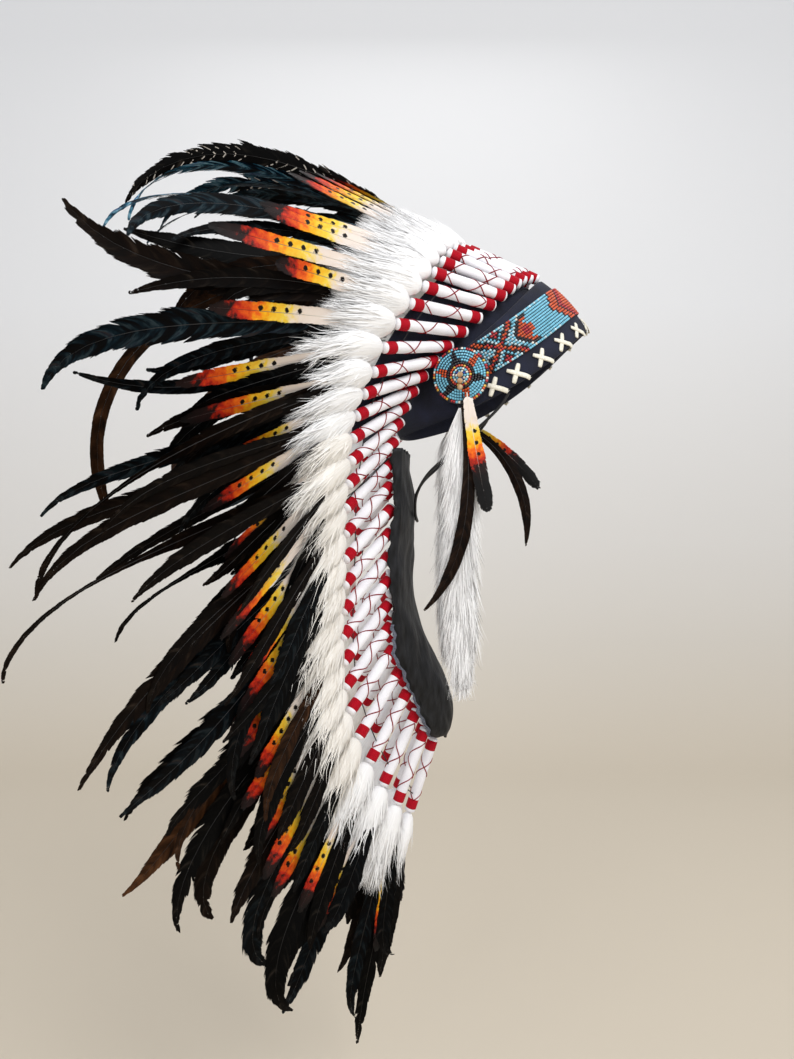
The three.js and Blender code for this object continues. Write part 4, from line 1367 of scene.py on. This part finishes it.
ROSETTE_RADIUS = 28.5
ROSETTE_TURN = np.radians(107)
ROSETTE_RISE = 29
ROSETTE_STAND = 4.0
ROSETTE_THICK = 4.0
ROSETTE_RINGS = 10


def rosette_axes(side):
    """Middle of a rosette's back, its way out, the way up its face, and the way beside."""
    turn = side * ROSETTE_TURN
    out = dome_normal(turn, ROSETTE_RISE)
    middle = dome_point(turn, ROSETTE_RISE, STRIP_THICK + ROSETTE_STAND)
    up = np.array([0, 0, 1.0])
    up = unit_length(up - out * (up @ out))
    return middle, out, up, np.cross(up, out)


def rosette_colour(ring, angle):
    """The rosette's pattern: ring counts from the middle, angle from the top in turns."""
    if ring == ROSETTE_RINGS - 1:
        return ("red", "white", "yellow", "red", "sky", "orange", "black")[int(angle * 61 * 3) % 7]
    if ring <= 1:
        return ("white", "blue", "sky")[int(angle * 9) % 3]
    if ring == 2:
        return ("sky", "white")[int(angle * 18) % 2]
    if ring == 3:
        return ("orange", "yellow", "red", "orange")[int(angle * 24) % 4]
    if ring == 4:
        return "black"
    # Six small wedges on the black ring, black and orange by turns.
    wedge = angle * 6 - 0.17
    off = abs(wedge % 1 - 0.5) * 2
    if off < 0.5 * (1 - (ring - 5) / 4.2):
        return "black" if int(np.floor(wedge)) % 2 else "orange"
    return "sky"


def build_rosette(name, side):
    """Rings of seed beads stitched on a felt disc."""
    middle, out, up, beside = rosette_axes(side)
    centres, holes, colours = [], [], []
    step = (ROSETTE_RADIUS - 0.6) / ROSETTE_RINGS
    for ring in range(ROSETTE_RINGS):
        radius = (ring + 0.5) * step
        count = max(4, int(2 * np.pi * radius / (step * 0.92)))
        for i in range(count):
            angle = (i + 0.5 * (ring % 2)) / count
            turn = angle * 2 * np.pi
            spoke = up * np.cos(turn) + beside * np.sin(turn)
            centres.append(middle + spoke * radius + out * (ROSETTE_THICK - 1.2))
            holes.append(beside * np.cos(turn) - up * np.sin(turn))
            colours.append(rosette_colour(ring, angle % 1))
    holes = np.array(holes)

    def backing(pile):
        share = np.array([0.01, 0.96, 1.0, 0.96, 0.01]) * ROSETTE_RADIUS
        depth = np.array([0.0, 0.0, 1.0, 2.2, 2.2])
        turn = full_turn(48)
        spokes = up * np.cos(turn)[:, None] + beside * np.sin(turn)[:, None]
        disc = middle + spokes[None] * share[:, None, None] + out * depth[:, None, None]
        pile.add(disc, ring=True, slot=1)

    make_beads(
        f"beadwork_rosette_{name}", np.array(centres), holes, np.cross(holes, out), step,
        colours, "seed_beads", [f"rosette_{name}"], backing,
    )


WOOD_BEAD_RADIUS = 2.9
WOOD_BEAD_STEP = 6.2
WOOD_BEADS = 3


def build_wood_beads(name, side):
    """Three turned beads in a row down from a rosette's middle."""
    middle, out = rosette_axes(side)[:2]
    polar = np.linspace(0.12, np.pi - 0.12, 12)[:, None]
    turn = full_turn(16)
    ball = np.stack(
        np.broadcast_arrays(
            np.sin(polar) * np.cos(turn), np.sin(polar) * np.sin(turn), np.cos(polar)
        ),
        -1,
    )
    for row in range(WOOD_BEADS):
        centre = middle + out * (ROSETTE_THICK + GAP + WOOD_BEAD_RADIUS)
        centre = centre - np.array([0, 0, row * WOOD_BEAD_STEP])
        pile = Pile()
        pile.add(centre + ball * WOOD_BEAD_RADIUS, ring=True)
        pile.make(
            f"turned_bead_{name}_{row + 1}", [BEAD_WOOD], "bead_wood",
            [f"wood_bead_{name}_{row + 1}"],
        )


build_strip()
for side_name, hand in SIDES:
    build_rosette(side_name, hand)
    build_wood_beads(side_name, hand)


# ---------------------------------------------------------------------------------------------
# Hem lacing
# ---------------------------------------------------------------------------------------------

LACE_WIDE = 5.2
LACE_FIRST = 13.6
LACE_PITCH = 31.8
LACE_ACROSS = 7.2
LACE_LOW = 1.0
LACE_HIGH = 14.5
LACE_CROSSES = 6
# The last cross before the ear is nearer to its neighbour.
LACE_LAST_NEARER = 6.0


def lace_strap(pile, turns, rises, offs, wide):
    """A flat thong laid over the band, through the points given."""
    share = np.linspace(0, 1, 13)
    places = np.linspace(0, 1, len(turns))
    turn = np.interp(share, places, turns)
    rise = np.interp(share, places, rises)
    off = np.interp(share, places, offs) + 0.5 * np.sin(share * np.pi)
    line = dome_point(turn, rise, off)
    normal = dome_normal(turn, rise)
    ahead = unit_length(np.gradient(line, axis=0))
    beside = unit_length(np.cross(normal, ahead))
    width = wide / 2 * (1 - 0.3 * np.abs(2 * share - 1) ** 6)[:, None]
    section = [
        line + beside * width, line + beside * width * 0.7 + normal * 0.9,
        line - beside * width * 0.7 + normal * 0.9, line - beside * width,
        line - normal * 0.3,
    ]
    rings = np.stack(section, axis=1)
    ends = [ring.mean(axis=0) + (ring - ring.mean(axis=0)) * 0.1 for ring in (rings[0], rings[-1])]
    pile.add(np.concatenate([[ends[0]], rings, [ends[1]]]), ring=True)


def build_lacing():
    """Buckskin crosses that bind the band's lower edge, with a leg of each under the edge."""
    outside, inside = Pile(), Pile()
    fine, lengths = strip_run()
    chance = np.random.default_rng(3)
    for cross in range(LACE_CROSSES):
        for side in (-1, 1):
            centre = LACE_FIRST + cross * LACE_PITCH
            if cross == LACE_CROSSES - 1:
                centre -= LACE_LAST_NEARER
            shift = chance.uniform(-1, 1, 4)

            def turned(distance):
                return side * np.sign(distance) * np.interp(abs(distance), lengths, fine)

            front, back = turned(centre - LACE_ACROSS + shift[0]), turned(centre + LACE_ACROSS)
            low, high = LACE_LOW, LACE_HIGH + shift[1] * 0.5
            lace_strap(outside, (back, front), (low + 1, high), (0.5, 0.5), LACE_WIDE)
            under = turned(centre - LACE_ACROSS * 1.35)
            lace_strap(
                outside, (back, front, under, under), (high, low + 1, -1.4, -1.0),
                (1.4, 1.4, 0.4, -3.4), LACE_WIDE,
            )
            lace_strap(inside, (front, back), (2, 12), (-3.4, -3.4), LACE_WIDE)
            lace_strap(inside, (back, front), (2, 12), (-4.2, -4.2), LACE_WIDE)
    outside.make("hem_lacing", [CREAM_LACE], "panel_leather")
    inside.make("hem_lacing_backs", [TAN_LACE], "panel_leather")


build_lacing()


# ---------------------------------------------------------------------------------------------
# Trailer panel, cord and side drops
# ---------------------------------------------------------------------------------------------

PANEL_FIRST = 15.6
PANEL_LAST = 28.6
PANEL_THICK = 2.0
PANEL_AHEAD = 12.0
PANEL_BESIDE = 4.0
PANEL_ABOVE = 6.0
PANEL_FLAT = 0.8
PANEL_OUT = 4.0
PANEL_FLAP = 7.0
PANEL_ROWS = 110
PANEL_COLUMNS = 61
TORN_ROWS = 48


def build_panel():
    """The long panel down the back: creased leather, its raw edges turned back to the quills."""
    rows = []
    loop = np.linspace(-1, 1, PANEL_COLUMNS)
    flat = np.clip(loop / PANEL_FLAT, -1, 1)
    turned = np.clip((np.abs(loop) - PANEL_FLAT) / (1 - PANEL_FLAT), 0, 1)
    for step, share in enumerate(np.linspace(0, 1, PANEL_ROWS)):
        unit = PANEL_LAST + (PANEL_FIRST - PANEL_LAST) * share
        back, up, beside, _, _, bow = row_at(unit)
        crease = 1.3 * np.sin(up / 13.0 + 3 * np.sin(loop * 2)) * np.cos(loop * 1.5 + up / 31)
        crease = crease + 1.0 * np.sin(loop * 20 + 2.5 * np.sin(up / 19)) * np.sin(up / 23 + 1)
        half = beside + PANEL_BESIDE + PANEL_OUT
        fray = 1.2 * np.sin(up / 5.3) + 1.0 * np.sin(up / 2.1 + 1) + 2 * np.sin(up / 17)
        wide = flat * half + np.sign(loop) * turned * (1.6 * np.sin(up / 9 + 4 * turned) + 0.6)
        depth = back - PANEL_AHEAD - bow * (1 - flat**2) + crease * (1 - turned)
        depth = depth + (PANEL_FLAP + fray) * turned
        tangent = unit_length(np.stack([np.gradient(wide), np.gradient(depth)], -1))
        normal = np.stack([-tangent[:, 1], tangent[:, 0]], -1) * PANEL_THICK / 2
        front = np.stack([wide, depth], -1) - normal
        rear = (np.stack([wide, depth], -1) + normal)[::-1]
        ring = np.concatenate([front, rear])
        ragged = 2.5 * np.sin(3.3 * ring[:, 0] / 9) if step in (0, PANEL_ROWS - 1) else 0.0
        rise = np.full(len(ring), up + PANEL_ABOVE) + ragged
        rows.append(np.column_stack([ring, rise]))
    rows = np.array(rows)
    pile = Pile()
    pile.add(closed_ends(rows), ring=True)
    panel = pile.make("leather_panel", [PANEL_LEATHER], "panel_leather", ["trailer_panel"])
    # Threads of the torn edge hang on along its lower part.
    threads = Pile()
    for corner in (0, PANEL_COLUMNS - 1):
        edge = rows[:TORN_ROWS, corner]
        torn = 1.5 + 1.3 * waves(edge[:, 2], 41 + corner, 5)
        outer = edge + np.stack([np.sign(edge[:, 0]) * 0.4, torn, 0 * torn], -1)
        inner = edge - np.array([0, 2.0, 0]) + np.sign(edge[:, :1]) * np.array([1.3, 0, 0])
        threads.add(np.stack([inner, outer], axis=1))
    torn = threads.make("torn_panel_edge", [TORN_EDGE], "panel_leather")
    hang(panel)


# Pairs of knots that each layer of the curve is mixed between.
CURVE_SPANS = (((0, 1), (1, 2), (2, 3)), ((0, 2), (1, 3)), ((1, 2),))


def cord_curve(points, count):
    """Points on the centripetal Catmull-Rom curve through points, evenly spaced."""
    points = np.asarray(points, float)
    ends = 2 * points[0] - points[1], 2 * points[-1] - points[-2]
    padded = np.concatenate([[ends[0]], points, [ends[1]]])
    found = []
    for a, b, c, d in zip(padded, padded[1:], padded[2:], padded[3:]):
        knots = [0.0]
        for start, end in ((a, b), (b, c), (c, d)):
            knots.append(knots[-1] + np.linalg.norm(end - start) ** 0.5)
        for t in np.linspace(knots[1], knots[2], 24, endpoint=False):
            layer = [a, b, c, d]
            for spans in CURVE_SPANS:
                layer = [
                    (layer[i] * (knots[last] - t) + layer[i + 1] * (t - knots[first]))
                    / (knots[last] - knots[first])
                    for i, (first, last) in enumerate(spans)
                ]
            found.append(layer[0])
    found.append(points[-1])
    found = np.array(found)
    lengths = run_along(found)
    even = np.linspace(0, lengths[-1], count)
    return np.stack([np.interp(even, lengths, found[:, i]) for i in range(3)], -1), lengths[-1]


def build_cord():
    """The black cord that hangs from the band's ends and passes behind the neck."""
    right = [(-x, y, z) for x, y, z in CORD_HALF]
    left = [(x, y, z) for x, y, z in CORD_HALF][::-1]
    line, length = cord_curve([*right, CORD_NAPE, *left], 90)
    pile = Pile()
    pile.add(tube(line, CORD_WIDE / 2, 10), ring=True)
    cord = pile.make("neck_cord_braid", [CORD_BRAID], "cord_black", ["neck_cord"])


DROP_SIDE = 86.0
DROP_BACK = 39.0
DROP_TOP = -35.0
DROP_LENGTH = 285.0
DROP_WIDE = 34.0
DROP_DEEP = 9.0
DROP_HAIRS = 6400
# Where the drop's feathers hang from: beside, back, up.
DROP_BLACK_AT = (93.5, 39, -22)
DROP_PAINTED_AT = (96.5, 35, -22)
# Their length, turn, bend and hook. The left one's swing forward over the cheek.
DROP_BLACK_CURVES = {"right": (225, -8, 20, 35), "left": (195, -70, 80, 0)}
DROP_PAINTED_CURVES = {"right": (118, -8, -4), "left": (135, -66, 30)}
DROP_AXES = {
    "forth": np.array([0, 0, -1.0]),
    "along": np.array([0, 1.0, 0]),
    "out": np.array([1.0, 0, 0]),
}


def build_drop_fur(name, side):
    """A strip of white fur hung from the rosette."""
    chance = np.random.default_rng(900 + side)
    fur = Pile()
    share = np.linspace(0, 1, 14)
    swell = np.array([0.05, 0.5, 0.7, 0.8, 0.8, 0.8, 0.8, 0.8, 0.78, 0.7, 0.6, 0.45, 0.25, 0.03])
    turn = full_turn(10)
    x = side * DROP_SIDE + swell[:, None] * 3.0 * np.cos(turn)
    y = DROP_BACK + swell[:, None] * DROP_WIDE / 2 * 0.6 * np.sin(turn)
    z = np.broadcast_to((DROP_TOP - share * (DROP_LENGTH - 30))[:, None], x.shape)
    uv = paired(share[:, None] * 0.5, turn[None])
    fur.add(np.stack([x, y, z], -1), uv=uv, ring=True)
    hairs = DROP_HAIRS
    top = chance.uniform(-0.02, 0.9, hairs) ** 0.95
    lock = np.floor(top * 20) + 37 * chance.integers(0, 6, hairs)
    beside = (np.sin(lock * 12.9898) * 43758.5453) % 1 * 2 - 1
    beside = np.clip(beside + chance.normal(0, 0.2, hairs), -1, 1)
    long = chance.uniform(28, 62, hairs)
    steps = np.array([0, 0.33, 0.66, 1.0])
    limit = DROP_LENGTH + chance.uniform(-14, 8, (hairs, 1))
    fall = np.minimum(top[:, None] * DROP_LENGTH + long[:, None] * steps, limit)
    taper = np.interp(fall / DROP_LENGTH, [0, 0.06, 0.3, 0.8, 1.0], [0.35, 0.9, 1, 0.95, 0.5])
    spread = beside[:, None] * DROP_WIDE / 2 * taper * (0.45 + 0.55 * steps**0.7)
    spread = spread + chance.normal(0, 3.6, (hairs, 1)) * steps**2
    deep = chance.normal(0, 0.4, (hairs, 1)) * DROP_DEEP / 2 * (0.7 + 0.3 * steps)
    line = np.stack(
        np.broadcast_arrays(side * DROP_SIDE + deep, DROP_BACK + spread, DROP_TOP - fall), -1
    )
    facing = unit_length(chance.normal(0, 1, (hairs, 1, 3)) + np.array([side * 1.5, 0, 0]))
    ahead = unit_length(np.gradient(line, axis=1) + 1e-6)
    across = unit_length(np.cross(ahead, facing))
    thick = np.array([1.0, 0.9, 0.6, 0.12])[:, None] * 0.75 / 2
    dark = (chance.uniform(0, 1, hairs) < 0.05 + 0.2 * (top > 0.4)) * 0.8
    add_hairs(fur, line, across, thick, paired(steps[None], top[:, None]), dark)
    fur.make(f"fur_strip_{name}", [WHITE_FUR], "white_fur", [f"fur_drop_{name}"])


def build_drop_feathers(name, side):
    """A black and a painted feather hung beside the strip of fur."""
    black, painted = Pile(), Pile()
    hook = np.array([side, 1, 1])
    path = feather_path(DROP_BLACK_AT * hook, DROP_AXES, *DROP_BLACK_CURVES[name])
    add_vane(black, path, 15, COQUE_PROFILE, 77 + side, start=0.05, tone=-0.12, fray=0.03)
    add_shaft(black, path, 1.5, 1)
    black.make(
        f"drop_black_vane_{name}", [BLACK_VANE, BLACK_SHAFT], "black_feather",
        [f"drop_black_feather_{name}"],
    )
    path = feather_path(DROP_PAINTED_AT * hook, DROP_AXES, *DROP_PAINTED_CURVES[name])
    add_vane(
        painted, path, 16, GOOSE_PROFILE, 87 + side, start=0.04, sweep=1.0, fray=0.06, pull=0.2,
        dots=(38, 11.5), shift=0.26,
    )
    add_shaft(painted, path, 1.2, 1)
    painted.make(
        f"drop_painted_vane_{name}", [PAINTED_VANE, PALE_SHAFT], "painted_feather",
        [f"drop_painted_feather_{name}"],
    )


build_panel()
build_cord()
for side_name, hand in SIDES:
    build_drop_fur(side_name, hand)
    build_drop_feathers(side_name, hand)


# ---------------------------------------------------------------------------------------------
# Studio
# ---------------------------------------------------------------------------------------------

# In metres, as the camera is.
FLOOR = -0.80
WALL_AT = 1.8
WALL_TOP = 3.0
WALL_CURVE = 0.6
LIGHT_SIZE = 1.4
LIGHTS = (
    # place, aim, watts
    ((-1.6, -0.9, 1.3), (0, 0.1, -0.1), 30),
    ((-1.8, 1.4, 0.5), (0, 0.1, -0.3), 13),
    ((0.9, 0.1, 1.9), (0, 0.1, -0.1), 9),
)


def build_studio():
    """A pale floor that curves up into a wall, soft lights and an even sky."""
    profile = [(-3.0, FLOOR)]
    for tilt in np.linspace(0, np.pi / 2, 12):
        back = WALL_AT - WALL_CURVE + WALL_CURVE * np.sin(tilt)
        profile.append((back, FLOOR + WALL_CURVE - WALL_CURVE * np.cos(tilt)))
    profile.append((WALL_AT, WALL_TOP))
    points, faces = [], []
    for x, z in profile:
        points += [(x, -4.0, z), (x, 4.0, z)]
    for i in range(len(profile) - 1):
        faces.append((2 * i, 2 * i + 1, 2 * i + 3, 2 * i + 2))
    mesh = bpy.data.meshes.new("backdrop")
    mesh.from_pydata(points, [], faces)
    mesh.polygons.foreach_set("use_smooth", [True] * len(faces))
    # Matt painted wall: white, with painted shade that makes it darker and warmer toward the floor.
    paint, tree, shader = new_material("matt_wall_paint", Roughness=0.95)
    height = add_node(tree, "SeparateXYZ", {0: add_node(tree, "TexCoord").outputs["Object"]})
    rise = add_node(tree, "MapRange", {0: height.outputs[2], 1: -1.0, 2: 0.6})
    # Painted shade, darkest and warmest at the floor.
    floor_shade = add_node(
        tree,
        "ValToRGB",
        {0: rise.outputs[0]},
        stops=[(0.0, "#c8b9a0"), (0.3, "#d6d0c6"), (0.5, "#e4e2df"), (1.0, "#ecedef")],
    )
    tree.links.new(floor_shade.outputs[0], shader.inputs["Base Color"])
    mesh.materials.append(paint)
    backdrop = in_scene("backdrop", mesh)

    world = bpy.data.worlds.new("sky")
    world.use_nodes = True
    sky = world.node_tree.nodes["Background"].inputs
    sky[0].default_value = linear("#f9fbff")
    sky[1].default_value = 0.7
    bpy.context.scene.world = world
    bpy.context.scene.view_settings.view_transform = "Standard"
    for spot, aim, power in LIGHTS:
        light = bpy.data.lights.new("soft_light", "AREA")
        light.size = LIGHT_SIZE
        light.energy = power
        lamp = in_scene("soft_light", light)
        lamp.location = spot
        lamp.rotation_euler = (Vector(aim) - Vector(spot)).to_track_quat("-Z", "Y").to_euler()


build_studio()
